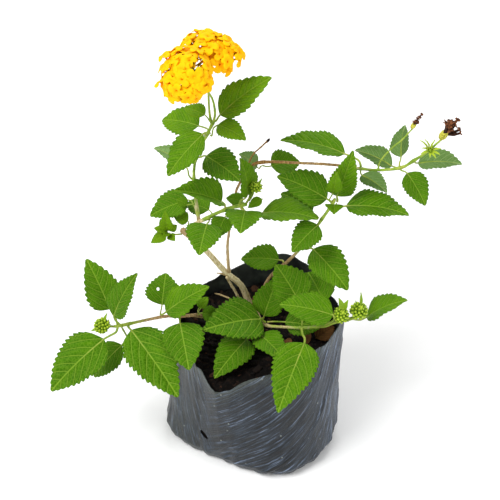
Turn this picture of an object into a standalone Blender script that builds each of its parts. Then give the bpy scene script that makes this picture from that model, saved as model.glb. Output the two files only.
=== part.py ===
"""A potted lantana: a bushy young plant with toothed leaves and yellow flower heads in a black nursery bag.

Metres, +Z up. The origin is the middle of the bag's flat base, on the surface that it stands on.

The plant is laid out as it is seen from one place, in front of the bag and above it. A point is given by
the pixel where it shows in that view, in a frame of 500 by 500, and by its depth in mm, its real distance
behind the middle of the bag. Widths, radii and thicknesses are real sizes in mm.
"""

import math

import bmesh
import bpy
from mathutils import Vector

MM = 0.001
UP = Vector((0, 0, 1))
RIGHT = Vector((1, 0, 0))

# The viewpoint of the layout
VIEW_ELEVATION = math.radians(40)
VIEW_DISTANCE = 800 * MM
VIEW_TARGET = Vector((-3, 0, 137)) * MM
VIEW_CENTRE = 250
PIXEL = 0.56 * MM  # at the target's distance
AWAY = Vector((0, math.cos(VIEW_ELEVATION), -math.sin(VIEW_ELEVATION)))
VIEW_UP = Vector((0, math.sin(VIEW_ELEVATION), math.cos(VIEW_ELEVATION)))
EYE = VIEW_TARGET - AWAY * VIEW_DISTANCE

# The bag: its outline at the rim as (azimuth, radius, height), and at the base as (azimuth, radius)
RIM = [
    (0, 52, 86),
    (25, 50, 85),
    (67, 54, 92),
    (98, 48, 86),
    (128, 48, 80),
    (160, 46, 82),
    (180, 44, 82),
    (210, 45, 81),
    (230, 48, 79),
    (245, 51, 70),
    (257, 49, 77),
    (270, 47, 83),
    (300, 45, 84),
    (325, 45, 86),
    (345, 48, 86),
]
BASE = [
    (0, 50),
    (45, 50),
    (90, 48),
    (135, 50),
    (187, 55),
    (200, 53),
    (220, 46),
    (245, 43),
    (274, 48),
    (284, 52),
    (303, 53),
    (327, 52),
]
BAG_SIDES = 40
FILM = 0.6 * MM
BASE_CORNER = 7 * MM  # how far the foot of the wall turns in
GAP = 0.3 * MM  # air between touching pieces

# The soil's level, and the mound that it makes round the stem
SOIL_LEVEL = 69 * MM
MOUND_HEIGHT = 4 * MM
MOUND_SPREAD = 15 * MM
MOUND_CENTRE = Vector((-3, 28, 0)) * MM

# A leaf's blade: how its half width and thickness run from the base, 0, to the tip, 1
OUTLINE = [(0.06, 0.5), (0.17, 0.86), (0.32, 1.0), (0.5, 0.92), (0.68, 0.69), (0.84, 0.4), (0.94, 0.17)]
BLADE = 0.7 * MM
KEEL = 0.5 * MM  # how far the midrib stands out below
PETIOLE = 0.7 * MM  # radius of the stalk
RING = 8
ARCH = 0.07  # rise of a leaf's middle, as a share of its length
FOLD = math.radians(12)  # how far each half is turned up from the midrib

# Ways that a leaf's upper side can face
OPEN = Vector((0, -0.35, 0.85))
FLAT = Vector((0, 0, 1))
FRONT = Vector((0, -0.9, 0.45))
BEHIND = Vector((0, 0.93, 0.25))


def seen(px, py, depth):
    """The point that shows at pixel px, py of the layout's view and lies depth mm behind the bag's middle."""
    ray = AWAY * VIEW_DISTANCE
    ray += RIGHT * ((px - VIEW_CENTRE) * PIXEL)
    ray += VIEW_UP * ((VIEW_CENTRE - py) * PIXEL)
    return EYE + ray * ((depth * MM - EYE.y) / ray.y)


def soil_height(x, y):
    """The height of the soil's surface, without its lumps."""
    away = (Vector((x, y, 0)) - MOUND_CENTRE).length
    return SOIL_LEVEL + MOUND_HEIGHT * math.exp(-((away / MOUND_SPREAD) ** 2))


def between(values, azimuth):
    """The values of a closed outline at an azimuth in degrees, by a smooth curve through its points."""
    count = len(values)
    for i in range(count):
        start = values[i][0]
        end = values[(i + 1) % count][0] + (360 if i == count - 1 else 0)
        if start <= azimuth % 360 < end:
            break
    t = (azimuth % 360 - start) / (end - start)
    four = [Vector(values[(i + k) % count][1:] + (0,) * (4 - len(values[0]))) for k in (-1, 0, 1, 2)]
    return smooth(four, t)


def smooth(four, t):
    """A Catmull-Rom curve's point, between the second and the third of four points."""
    a, b, c, d = four
    return 0.5 * (2 * b + (c - a) * t + (2 * a - 5 * b + 4 * c - d) * t**2 + (3 * b - a - 3 * c + d) * t**3)


def smooth_run(points, steps=3):
    """Points along a smooth curve through the given (x, y, z, radius) points."""
    ends = [2 * points[0] - points[1]] + points + [2 * points[-1] - points[-2]]
    run = [smooth(ends[i : i + 4], k / steps) for i in range(len(points) - 1) for k in range(steps)]
    return run + [points[-1]]


def material(name, colour, roughness):
    """A plain Principled material."""
    made = bpy.data.materials.new(name)
    made.use_nodes = True
    shader = made.node_tree.nodes["Principled BSDF"]
    shader.inputs["Base Color"].default_value = (*colour, 1)
    shader.inputs["Roughness"].default_value = roughness
    shader.inputs["Metallic"].default_value = 0
    return made


def add_object(name, mesh, surface, home):
    """An object for a mesh, with one material, in the collection home."""
    mesh.materials.clear()
    mesh.materials.append(surface)
    made = bpy.data.objects.new(name, mesh)
    home.objects.link(made)
    return made


def loft(rings, name, open_ends=False):
    """A mesh through rings of points. A ring of one point ends it in a tip, and a full ring in a flat cap."""
    mesh = bpy.data.meshes.new(name)
    shape = bmesh.new()
    rows = [[shape.verts.new(point) for point in ring] for ring in rings]
    for here, there in zip(rows, rows[1:]):
        count = max(len(here), len(there))
        for k in range(count):
            a, b = here[k % len(here)], here[(k + 1) % len(here)]
            c, d = there[(k + 1) % len(there)], there[k % len(there)]
            shape.faces.new(list(dict.fromkeys((a, b, c, d))))
    for row in (rows[0], rows[-1]):
        if len(row) > 1 and not open_ends:
            shape.faces.new(row)
    bmesh.ops.recalc_face_normals(shape, faces=shape.faces)
    shape.to_mesh(mesh)
    shape.free()
    return mesh


def baked(obj):
    """The object's mesh with its modifiers applied."""
    bpy.context.view_layer.update()
    graph = bpy.context.evaluated_depsgraph_get()
    mesh = bpy.data.meshes.new_from_object(obj.evaluated_get(graph))
    bpy.data.objects.remove(obj)
    return mesh


def union(name, meshes, surface, home):
    """One object from overlapping meshes."""
    whole = add_object(name, meshes[0], surface, home)
    for mesh in meshes[1:]:
        other = add_object(name + "_part", mesh, surface, home)
        join = whole.modifiers.new("join", "BOOLEAN")
        join.operation = "UNION"
        join.solver = "MANIFOLD"
        join.object = other
        joined = baked(whole)
        bpy.data.objects.remove(other)
        whole = add_object(name, joined, surface, home)
    return whole


# The bag and the soil


def bag_ring(share, inset=0.0):
    """A ring of the bag's outer surface moved in by inset, from share 0 at the base to 1 at the rim."""
    ring = []
    for i in range(BAG_SIDES):
        azimuth = 360 * i / BAG_SIDES
        foot = between(BASE, azimuth).x * MM
        rim_radius, rim_height = between(RIM, azimuth).xy * MM
        radius = foot + (rim_radius - foot) * share - inset
        angle = math.radians(azimuth)
        ring.append(Vector((radius * math.cos(angle), radius * math.sin(angle), rim_height * share)))
    return ring


def bag_foot(inset=0.0, floor=0.0):
    """The rings of the bag's base, from its middle out to where the wall stands up."""
    rings = []
    for turn, height in ((1.0, 0.0), (0.35, 0.28), (0.0, 1.0)):
        ring = bag_ring(0, inset + BASE_CORNER * turn)
        for point in ring:
            point.z = floor + (BASE_CORNER - floor) * height
        rings.append(ring)
    return rings


def make_bag(surface, home):
    """A cup of thin film, gathered in at the foot and open at its uneven rim."""
    rings = [[Vector((0, 0, 0))]] + bag_foot()
    rings += [bag_ring(share) for share in (0.3, 0.55, 0.8, 1.0)]
    cup = add_object("bag", loft(rings, "bag", open_ends=True), surface, home)
    film = cup.modifiers.new("film", "SOLIDIFY")
    film.thickness = FILM
    film.offset = -1
    film.use_even_offset = True
    return add_object("bag", baked(cup), surface, home)


def make_soil(surface, home):
    """The root ball, which fills the bag to below its rim and is mounded at the stem."""
    inset = FILM + 2 * GAP
    rings = [[Vector((0, 0, FILM + GAP))]] + bag_foot(inset, FILM + GAP)
    for share in (0.3, 0.55):
        rings.append(bag_ring(share, inset))
    edge = bag_ring(SOIL_LEVEL / (82 * MM), inset)
    for share in (1.0, 0.8, 0.55, 0.3):
        ring = [Vector((p.x * share, p.y * share, 0)) for p in edge]
        for point in ring:
            point.z = soil_height(point.x, point.y)
        rings.append(ring)
    rings.append([Vector((0, 0, soil_height(0, 0)))])
    return add_object("soil", loft(rings, "soil"), surface, home)


# Stems


class Stem:
    """A stem's centreline as smooth runs of (x, y, z, radius) points, to which leaves are fixed."""

    def __init__(self, name, *runs, rooted=False):
        self.name = name
        self.runs = []
        for run in runs:
            points = [seen(px, py, depth).to_4d() for px, py, depth, _ in run]
            for point, (_, _, _, radius) in zip(points, run):
                point.w = radius * MM
            if rooted and run is runs[0]:
                lean = (points[1].xyz - points[0].xyz).normalized()
                dip = points[0].w * math.hypot(lean.x, lean.y)
                points[0].z = soil_height(points[0].x, points[0].y) + GAP + dip
            self.runs.append(smooth_run(points))

    def nearest(self, point):
        """The centre, direction and radius of the stem where it is nearest to a point."""
        best = None
        for run in self.runs:
            for i in range(1, len(run) - 1):
                away = (run[i].xyz - point).length
                if best is None or away < best[0]:
                    best = (away, run[i].xyz, (run[i + 1].xyz - run[i - 1].xyz).normalized(), run[i].w)
        return best[1:]

    def beside(self, point, toward, distance):
        """A place that far from the stem's bark, out from where the stem is nearest to a point."""
        centre, heading, radius = self.nearest(point)
        return centre + outward(toward, heading) * (radius + distance)

    def past_end(self, number, distance):
        """A place that far past the end of a run, straight on."""
        run = self.runs[number]
        return run[-1].xyz + (run[-1].xyz - run[-2].xyz).normalized() * distance

    def make(self, surface, home):
        return union(self.name, [tube(run, self.name, home) for run in self.runs], surface, home)


def tube(run, name, home):
    """A closed tube along (x, y, z, radius) points."""
    curve = bpy.data.curves.new(name, "CURVE")
    curve.dimensions = "3D"
    curve.bevel_depth = MM
    curve.bevel_resolution = 1
    curve.use_fill_caps = True
    spline = curve.splines.new("POLY")
    spline.points.add(len(run) - 1)
    for place, point in zip(spline.points, run):
        place.co = (*point.xyz, 1)
        place.radius = point.w / MM
    obj = bpy.data.objects.new(name, curve)
    home.objects.link(obj)
    return welded(baked(obj))


def welded(mesh):
    """Joins the caps of a curve's tube to its wall."""
    shape = bmesh.new()
    shape.from_mesh(mesh)
    bmesh.ops.remove_doubles(shape, verts=shape.verts, dist=0.001 * MM)
    bmesh.ops.recalc_face_normals(shape, faces=shape.faces)
    shape.to_mesh(mesh)
    shape.free()
    return mesh


STEMS = {
    "main": Stem(
        "stem_main",
        [
            (249, 303, 26, 2.3),
            (241, 285, 24, 1.9),
            (226, 272.5, 21, 1.9),
            (205.5, 250, 16, 1.7),
            (182, 230, 10, 1.8),
        ],
        [
            (205, 250, 16, 1.3),
            (199, 222, 15, 1.2),
            (194, 180, 12, 0.9),
            (197, 155.7, 9, 0.8),
            (213, 123, 6, 0.8),
        ],
        [
            (189, 236, 12, 1.2),
            (191, 227, 12, 1.2),
            (207, 218, 12, 1.1),
            (227, 209, 12, 1.0),
            (247, 204, 12, 1.1),
        ],
        [(212.6, 125, 6, 0.7), (210, 117, 8, 0.7), (208.5, 95, 11, 0.6), (209, 63, 13, 0.6)],
        [
            (213, 124, 6, 0.7),
            (215, 113, 3, 0.7),
            (212, 98, 0, 0.6),
            (203, 87, -3, 0.6),
            (192, 80, -7, 0.6),
        ],
        rooted=True,
    ),
    "thin": Stem(
        "stem_thin",
        [(242.5, 302, 24, 0.9), (235, 291, 22, 0.9), (230, 283, 20, 0.8), (226.5, 277, 17.5, 0.8)],
        rooted=True,
    ),
    "branch": Stem(
        "branch_right",
        [
            (228.6, 266.5, 18.2, 0.9),
            (227.8, 255, 18, 1.0),
            (228, 240, 20, 0.8),
            (235, 196, 27, 0.8),
            (240, 183, 28, 0.8),
            (250, 168, 26, 0.9),
            (262, 162, 22, 0.9),
            (300, 163, 17, 0.8),
            (335, 165, 13, 0.8),
            (372, 170, 12, 0.8),
            (400, 168, 12, 0.8),
            (413, 161, 12, 0.8),
            (427, 152, 11, 0.7),
            (442, 139, 11, 0.6),
        ],
        [
            (378, 169, 12, 0.6),
            (381, 160, 12, 0.5),
            (393, 147, 12, 0.5),
            (402, 140, 12, 0.5),
            (413, 128, 12, 0.5),
        ],
        [(246, 172, 27, 0.6), (252, 156, 26, 0.5), (261, 147, 26, 0.5), (269, 139.5, 26, 0.7)],
    ),
    "right": Stem(
        "stem_right",
        [
            (258, 300, 27, 1.2),
            (269, 278, 23, 1.0),
            (284, 265, 20, 1.0),
            (302, 246.5, 15, 0.9),
            (322, 219, 10, 0.9),
            (331, 206, 7, 0.9),
            (335, 199, 5, 0.7),
        ],
        rooted=True,
    ),
    "left": Stem(
        "branch_left",
        [
            (245, 309, 21, 1.5),
            (241, 305, 17, 1.4),
            (230, 312, 10, 1.2),
            (212, 318, 3, 1.0),
            (196.5, 315.5, -4, 1.0),
            (179, 316, -8, 1.0),
            (161, 317, -10, 0.9),
            (128, 324, -12, 0.9),
            (114, 326.5, -13, 0.8),
        ],
        rooted=True,
    ),
    "low": Stem(
        "branch_front",
        [
            (254, 313, 20, 1.4),
            (256, 310, 15, 1.3),
            (260, 319, 7, 1.1),
            (266, 325.5, 0, 1.0),
            (283, 327, -6, 0.9),
            (303, 328, -10, 0.9),
            (324.6, 326, -14, 0.9),
            (333, 323, -15, 0.8),
            (345, 320.5, -13, 0.8),
            (354, 317.5, -13, 0.8),
        ],
        rooted=True,
    ),
}


# Leaves


class Leaf:
    """A leaf: where its blade starts and ends in the view, its width in mm, and the way it faces."""

    def __init__(self, base, tip, width, face=OPEN, arch=ARCH, fold=FOLD):
        self.base = seen(*base)
        self.tip = seen(*tip)
        self.width = width * MM
        self.arch = arch
        self.fold = fold
        span = self.tip - self.base
        self.length = span.length
        self.along = span.normalized()
        self.up = (face - self.along * face.dot(self.along)).normalized()

    def blade_ring(self, t, share):
        """A ring of the blade at t along it: left edge, three points above, right edge, three below."""
        rise = self.arch * self.length
        middle = self.base + self.along * (self.length * t) + self.up * (rise * 4 * t * (1 - t))
        up = (self.up - self.along * (4 * self.arch * (1 - 2 * t))).normalized()
        across = self.along.cross(self.up)
        half = self.width / 2 * share
        thick = BLADE / 2 * min(1.0, share * 1.6)
        keel = KEEL * (1 - t)
        out, lift = half * math.cos(self.fold), half * math.sin(self.fold)
        return [
            middle - across * out + up * lift,
            middle - across * out * 0.5 + up * (lift * 0.5 + thick),
            middle + up * thick,
            middle + across * out * 0.5 + up * (lift * 0.5 + thick),
            middle + across * out + up * lift,
            middle + across * out * 0.5 + up * (lift * 0.5 - thick),
            middle - up * (thick + keel),
            middle - across * out * 0.5 + up * (lift * 0.5 - thick),
        ]

    def rings(self, foot, leaves_by):
        """The leaf's rings, from its stalk's foot, which it leaves in the direction leaves_by, to its tip."""
        rise = self.up * (4 * self.arch)
        arrives_by = (self.along + rise).normalized()
        reach = (self.base - foot).length * 0.4
        stalk = [foot, foot + leaves_by * reach, self.base - arrives_by * reach, self.base]
        places = [bezier(stalk, t) for t in (1.0, 0.66, 0.33, 0.0)]
        up, heading = self.up, arrives_by
        found = []
        ways = [arrives_by, places[0] - places[2], places[1] - places[3], leaves_by]
        for place, way in zip(places, ways):
            new = way.normalized()
            up = heading.rotation_difference(new) @ up
            heading = new
            found.append(stalk_ring(place, heading, up))
        found.reverse()
        found += [self.blade_ring(t, share) for t, share in OUTLINE]
        return found + [[self.tip]]


def bezier(four, t):
    """A cubic Bezier curve's point at t."""
    a, b, c, d = four
    return a * (1 - t) ** 3 + b * (3 * t * (1 - t) ** 2) + c * (3 * t**2 * (1 - t)) + d * t**3


def stalk_ring(place, heading, up):
    """An octagon round a leaf stalk, in the order of a blade's ring."""
    up = (up - heading * up.dot(heading)).normalized()
    across = heading.cross(up)
    turns = [math.pi - k * math.tau / RING for k in range(RING)]
    return [place + (across * math.cos(a) + up * math.sin(a)) * PETIOLE for a in turns]


def outward(direction, heading):
    """The part of a direction that is square to a stem's heading."""
    return (direction - heading * direction.dot(heading)).normalized()


def leaf(name, stem, base, tip, width, *look, at=None):
    """One leaf. Its stalk starts a gap away from the bark, near the point at, or else near its base."""
    return name, stem, at or base, [Leaf(base, tip, width, *look)]


def pair(name, stem, at, *two):
    """Two opposite leaves in one piece. Their stalks meet beside the stem, near the point at."""
    return name, stem, at, [Leaf(*one) for one in two]


def nearest_turn(ring, other):
    """How many places a ring is turned on by, to bring its points nearest to another's."""
    gaps = [sum((ring[(k + turn) % RING] - other[k]).length for k in range(RING)) for turn in range(RING)]
    return gaps.index(min(gaps))


def turned(ring, turn):
    """A ring that starts so many points later. A tip stays as it is."""
    start = turn % len(ring)
    return ring[start:] + ring[:start]


def make_leaves(name, stem, at, leaves, surface, home):
    """A leaf, or two opposite ones joined at their stalks' feet, beside the stem."""
    centre, heading, radius = STEMS[stem].nearest(seen(*at))
    if len(leaves) == 1:
        out = outward(leaves[0].base - centre, heading)
        rings = leaves[0].rings(centre + out * (radius + GAP + 0.1 * MM), out)
        return add_object(name, loft(rings, name), surface, home)
    spread = outward(leaves[0].base - leaves[1].base, heading)
    aside = spread.cross(heading).normalized()
    if aside.dot((leaves[0].base + leaves[1].base) / 2 - centre) < 0:
        aside.negate()
    beside = centre + aside * (radius + GAP + PETIOLE + 0.1 * MM)
    first = leaves[0].rings(beside + spread * PETIOLE, spread)
    second = leaves[1].rings(beside - spread * PETIOLE, -spread)
    second = [[ring[(RING // 2 - k) % len(ring)] for k in range(len(ring))] for ring in second]
    second = [turned(ring, nearest_turn(second[0], first[0])) for ring in second]
    return add_object(name, loft(second[::-1] + first, name), surface, home)


LEAVES = [
    pair(
        "leaves_top_a",
        "main",
        (211.5, 127, 6),
        ((220, 115, 7), (271.5, 77, 16), 19),
        ((205, 115, 11), (184.5, 108, 18), 10),
    ),
    pair(
        "leaves_top_b",
        "main",
        (209, 131, 6),
        ((218, 125, 2), (246, 140, -7), 13),
        ((199, 126, 18), (162, 120, 29), 20),
    ),
    leaf("leaf_top_front", "main", (203, 134, -3), (167.5, 176, -12), 18, at=(206, 137, 7)),
    leaf("leaf_side_back", "main", (185, 165, 14), (154, 148, 20), 15, BEHIND, at=(194, 178, 12)),
    leaf("leaf_mid_right", "main", (206, 156, 7), (240, 181, -4), 20, at=(197, 158, 9)),
    pair(
        "leaves_bud_a",
        "main",
        (242, 206, 12),
        ((247, 196, 10), (240, 158, 14), 17, Vector((0.8, -0.5, 0.3))),
        ((245, 211, 4), (240.5, 233, -18), 21),
    ),
    pair(
        "leaves_bud_b",
        "main",
        (246, 204.5, 12),
        ((262, 213, 14), (318, 219, 3), 23, FLAT),
        ((243, 202, 18), (226, 198, 20), 9),
    ),
    leaf("leaf_mid_left", "main", (188, 200, 20), (150, 216, 16), 18, at=(197, 203, 14)),
    leaf("leaf_stub", "main", (188, 221, 13), (173, 215, 15), 9, at=(191, 227, 12)),
    pair(
        "leaves_mid_a",
        "main",
        (208, 217, 12),
        ((207, 224, 5), (199, 255, -16), 21),
        ((209, 210, 22), (187, 203, 31), 14),
    ),
    leaf(
        "leaf_mid_front",
        "main",
        (222, 202, 5),
        (174.5, 190.5, -4),
        21,
        OPEN,
        ARCH,
        math.radians(38),
        at=(227, 209, 12),
    ),
    leaf("leaf_mid_under", "main", (225, 217, 11), (217, 237, 3), 13, at=(224, 210.5, 12)),
    pair(
        "leaves_apex_a",
        "right",
        (330, 208, 7),
        ((327, 199, 12), (277, 176, 20), 22),
        ((346, 206, 4), (409, 215, -4), 24, FLAT),
    ),
    pair(
        "leaves_apex_b",
        "right",
        (333, 202, 6),
        ((337, 196, 10), (353, 151, 6), 16, FRONT),
        ((334, 205, 0), (334, 214, -11), 10),
    ),
    leaf("leaf_apex_front", "right", (333, 193, 2), (337, 172, -1), 9, FRONT, at=(334, 200, 5)),
    pair(
        "leaves_right_a",
        "right",
        (322, 219, 10),
        ((312, 212, 14), (281, 193, 27), 17),
        ((318, 225, 6), (292, 252, -5), 17),
    ),
    leaf("leaf_right_low", "right", (313, 249, 11), (348, 290, -8), 22, at=(303, 246, 15)),
    leaf("leaf_right_back", "right", (279, 260, 26), (241, 259, 31), 18, at=(283, 265, 20)),
    pair(
        "leaves_branch_a",
        "branch",
        (355, 167, 13),
        ((345, 154, 17), (280.5, 140, 24), 21, FLAT),
        ((362, 175, 9), (387, 192.5, 9), 13, BEHIND),
    ),
    pair(
        "leaves_branch_b",
        "branch",
        (263, 162, 22),
        ((257, 167, 27), (239, 154, 34), 14, BEHIND),
        ((271, 166, 27), (300, 162, 33), 17),
    ),
    pair(
        "leaves_branch_c",
        "branch",
        (401, 167.5, 12),
        ((401, 157, 15), (405, 125, 20), 14, Vector((-0.5, 0.85, 0.2))),
        ((407, 173, 8), (425.5, 205.6, -3), 15),
    ),
    leaf(
        "leaf_branch_left",
        "branch",
        (392, 166, 19),
        (355, 150, 28),
        17,
        BEHIND,
        at=(397, 168, 12),
    ),
    leaf(
        "leaf_branch_right",
        "branch",
        (418, 163, 16),
        (462, 164, 16),
        19,
        BEHIND,
        at=(412, 161.5, 12),
    ),
    pair(
        "leaves_left_a",
        "left",
        (117, 326, -13),
        ((110, 309, -7), (86.3, 259, 4), 21),
        ((104, 339, -20), (51, 391, -42), 28),
    ),
    pair(
        "leaves_left_b",
        "left",
        (122, 325, -12),
        ((114, 316, -16), (137, 273.5, -15), 17),
        ((122, 345, -8), (94, 377, -14), 18),
    ),
    leaf("leaf_left_front", "left", (131, 330, -17), (178, 397, -46), 28, at=(129, 324, -12)),
    pair(
        "leaves_left_c",
        "left",
        (161, 317, -10),
        ((162, 305, -1), (166, 273, 13), 21),
        ((166, 312, -12), (209, 286.5, -8), 19),
    ),
    leaf("leaf_left_low", "left", (180, 323, -13), (189, 370, -38), 25, at=(179, 316, -8)),
    leaf("leaf_left_inner", "left", (202, 313, -7), (221, 319, -6), 11, at=(196, 315.5, -4)),
    leaf("leaf_left_small", "left", (199, 308, 6), (208, 297, 12), 7, at=(199, 316, -2)),
    pair(
        "leaves_front_a",
        "low",
        (266, 325.5, 0),
        ((261, 319, 0), (203, 330, -19), 29),
        ((285, 322, -2), (320, 328, -2), 18),
    ),
    leaf("leaf_front_low", "low", (247, 339, -9), (214.5, 378, -37), 21, at=(257, 312, 12)),
    pair(
        "leaves_front_b",
        "low",
        (262, 322, 4),
        ((260, 335, -10), (285.7, 361, -37), 17),
        ((264, 316, 8), (278, 277.6, 21), 19),
    ),
    pair(
        "leaves_front_c",
        "low",
        (303, 328, -10),
        ((304.5, 343, -24), (278, 412.3, -64), 26),
        ((299, 302, 0), (275.7, 264.6, 14), 25),
    ),
    pair(
        "leaves_front_d",
        "low",
        (325, 326, -14),
        ((333, 315, -21), (279.5, 304.4, -18), 21),
        ((324, 302, 4), (308, 272, 22), 20),
    ),
    leaf("leaf_front_right", "low", (367, 317, -3), (407.3, 300, -5), 20, FLAT, at=(350, 319, -13)),
]


# Flower heads, buds and dead heads


def turned_body(name, place, axis, low, steps, high, sides):
    """A closed round body about an axis, from its low point over (height, radius) steps to its high one."""
    turn = axis.to_track_quat("Z", "Y")
    rings = [[place + turn @ Vector((0, 0, low))]]
    for height, radius in steps:
        ring = [Vector((radius * math.cos(a), radius * math.sin(a), height)) for a in sides_of(sides)]
        rings.append([place + turn @ point for point in ring])
    rings.append([place + turn @ Vector((0, 0, high))])
    return loft(rings, name)


def sides_of(count):
    """The angles of a regular ring's points."""
    return [math.tau * k / count for k in range(count)]


def dome_directions(rows):
    """Unit directions spread over a dome in rows of (tilt in degrees, count)."""
    for row, (tilt, count) in enumerate(rows):
        for k in range(count):
            turn = math.tau * (k + 0.5 * (row % 2)) / count
            lean = math.radians(tilt)
            yield Vector((math.sin(lean) * math.cos(turn), math.sin(lean) * math.sin(turn), math.cos(lean)))


FLORET_ROWS = [(22, 4), (47, 8), (74, 12)]
FLORET_SIDES = 6
FLORET_TUBE = 0.6 * MM
FLORET_LIMB = 3.4 * MM  # radius of a floret's face
LIMB_DEPTH = 0.9 * MM
RECEPTACLE = 2.6 * MM
RECEPTACLE_REACH = 1.3 * RECEPTACLE  # from its middle down to where the stalk meets it


def make_flower_head(name, place, axis, radius, flatness, surface, home):
    """A receptacle, and on it the florets: each a thin tube that opens into a flat face."""
    turn = axis.to_track_quat("Z", "Y")
    steps = [(-RECEPTACLE * 0.6, RECEPTACLE * 0.7), (RECEPTACLE * 0.3, RECEPTACLE)]
    meshes = [turned_body(name, place, axis.normalized(), -RECEPTACLE_REACH, steps, RECEPTACLE, 8)]
    for way in dome_directions(FLORET_ROWS):
        reach = Vector((way.x, way.y, way.z * flatness)) * radius
        face = (turn @ Vector((way.x * 0.8, way.y * 0.8, way.z))).normalized()
        end = place + turn @ reach
        meshes.append(floret(name, place, end, face))
    return union(name, meshes, surface, home)


def floret(name, root, end, face):
    """A closed floret: a tube from the receptacle, and its face."""
    heading = (end - root).normalized()
    turn = heading.to_track_quat("Z", "Y")
    flat = face.to_track_quat("Z", "Y")
    ring = [Vector((math.cos(a), math.sin(a), 0)) for a in sides_of(FLORET_SIDES)]
    start = root + heading * RECEPTACLE * 0.7
    neck = end - face * LIMB_DEPTH * 2
    rings = [[start + turn @ (point * FLORET_TUBE) for point in ring]]
    rings.append([neck + flat @ (point * FLORET_TUBE) for point in ring])
    rings.append([end - face * LIMB_DEPTH + flat @ (point * FLORET_LIMB * 0.9) for point in ring])
    rings.append([end + flat @ (point * FLORET_LIMB) for point in ring])
    return loft(rings, name)


def make_bud(name, place, axis, radius, surface, home, bracts=()):
    """A green head of unopened buds, as a knobbly ball on a short neck, with pointed bracts round it."""
    axis = axis.normalized()
    steps = [(-0.7 * radius, 0.65 * radius), (-0.1 * radius, radius), (0.55 * radius, 0.85 * radius)]
    meshes = [turned_body(name, place, axis, -1.1 * radius, steps, radius, 12)]
    for tip, width in bracts:
        meshes.append(spike(name, place, tip, width * MM))
    return union(name, meshes, surface, home)


def spike(name, root, tip, width):
    """A narrow closed spindle from inside a bud out to a point."""
    span = tip - root
    steps = [(span.length * 0.15, width * 0.4), (span.length * 0.6, width * 0.5)]
    return turned_body(name, root, span.normalized(), 0.0, steps, span.length, 6)


def stem_end(stem, run, clear):
    """A place that far past the end of a stem's run, with the usual gap."""
    return STEMS[stem].past_end(run, clear + GAP)


def make_heads(petal, home):
    """The two open flower heads, at the ends of the two flower stalks."""
    upper, lower = stem_end("main", 3, RECEPTACLE_REACH), stem_end("main", 4, RECEPTACLE_REACH)
    make_flower_head("flower_head_upper", upper, Vector((0.1, 0, 1)), 15.5 * MM, 0.75, petal, home)
    make_flower_head("flower_head_lower", lower, Vector((-0.3, -0.6, 0.75)), 13.6 * MM, 0.82, petal, home)


def make_buds(bud, home):
    """The green heads of unopened buds, with the bracts that show."""
    shoot = [(seen(249, 201.5, 12), 2)]
    make_bud("bud_shoot", seen(256, 187, 10), Vector((0.2, 0, 1)), 3.2 * MM, bud, home, shoot)

    left = stem_end("left", 0, LEFT_BUD) - AWAY * MM
    make_bud("bud_left", left, Vector((-0.4, -0.3, 1)), LEFT_BUD, bud, home)

    front = STEMS["low"].beside(seen(342, 321, -14), -AWAY, FRONT_BUD + GAP)
    bracts = [(seen(340, 298, -18), 2.5), (seen(347, 301, -18), 2)]
    make_bud("bud_front", front, Vector((0.3, 0, 1)), FRONT_BUD, bud, home, bracts)

    right = stem_end("low", 0, RIGHT_BUD)
    make_bud("bud_right", right, Vector((0.3, 0, 1)), RIGHT_BUD, bud, home, [(seen(361, 293, -14), 1.5)])

    tip = STEMS["branch"].beside(seen(430, 150, 11), -AWAY, TIP_BUD + GAP)
    bracts = [(seen(x, y, 4), 2) for x, y in TIP_BRACTS]
    make_bud("bud_tip", tip, -AWAY, TIP_BUD, bud, home, bracts)


def make_dead_heads(dead, home):
    """The two spent heads on the long branch, with the florets that still hold on."""
    inner = stem_end("branch", 1, 1.5 * MM)
    make_bud("dead_head_inner", inner, Vector((0.5, 0, 1)), 1.4 * MM, dead, home, [(seen(422, 114, 12), 2)])
    outer = stem_end("branch", 0, 2.8 * MM)
    prongs = [(seen(x, y, 10), 2) for x, y in DEAD_PRONGS]
    make_bud("dead_head_outer", outer, Vector((0.5, 0, 1)), 2.7 * MM, dead, home, prongs)


def make_rosette(blade, home):
    """The tuft of small leaves at the cut stub, each a narrow spindle from one heart."""
    tuft = [(seen(x, y, depth), width) for x, y, depth, width in ROSETTE_LEAVES]
    make_bud("rosette_stub", seen(167.5, 233, 9), Vector((-0.3, 0, 1)), 1.0 * MM, blade, home, tuft)


LEFT_BUD = 4.6 * MM
FRONT_BUD = 4.4 * MM
RIGHT_BUD = 4.8 * MM
TIP_BUD = 2.0 * MM
TIP_BRACTS = [(420, 150), (424, 143), (433, 141), (428, 158), (437, 155), (441, 149)]
DEAD_PRONGS = [(446, 121), (452, 120), (459, 119), (463, 129), (456, 134)]
ROSETTE_LEAVES = [
    (167, 213, 4, 7),
    (151, 242, 4, 6),
    (176, 240, 4, 5),
    (154, 230, 10, 5),
    (174, 226, 14, 4),
    (179, 234, 10, 1.5),
]


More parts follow.
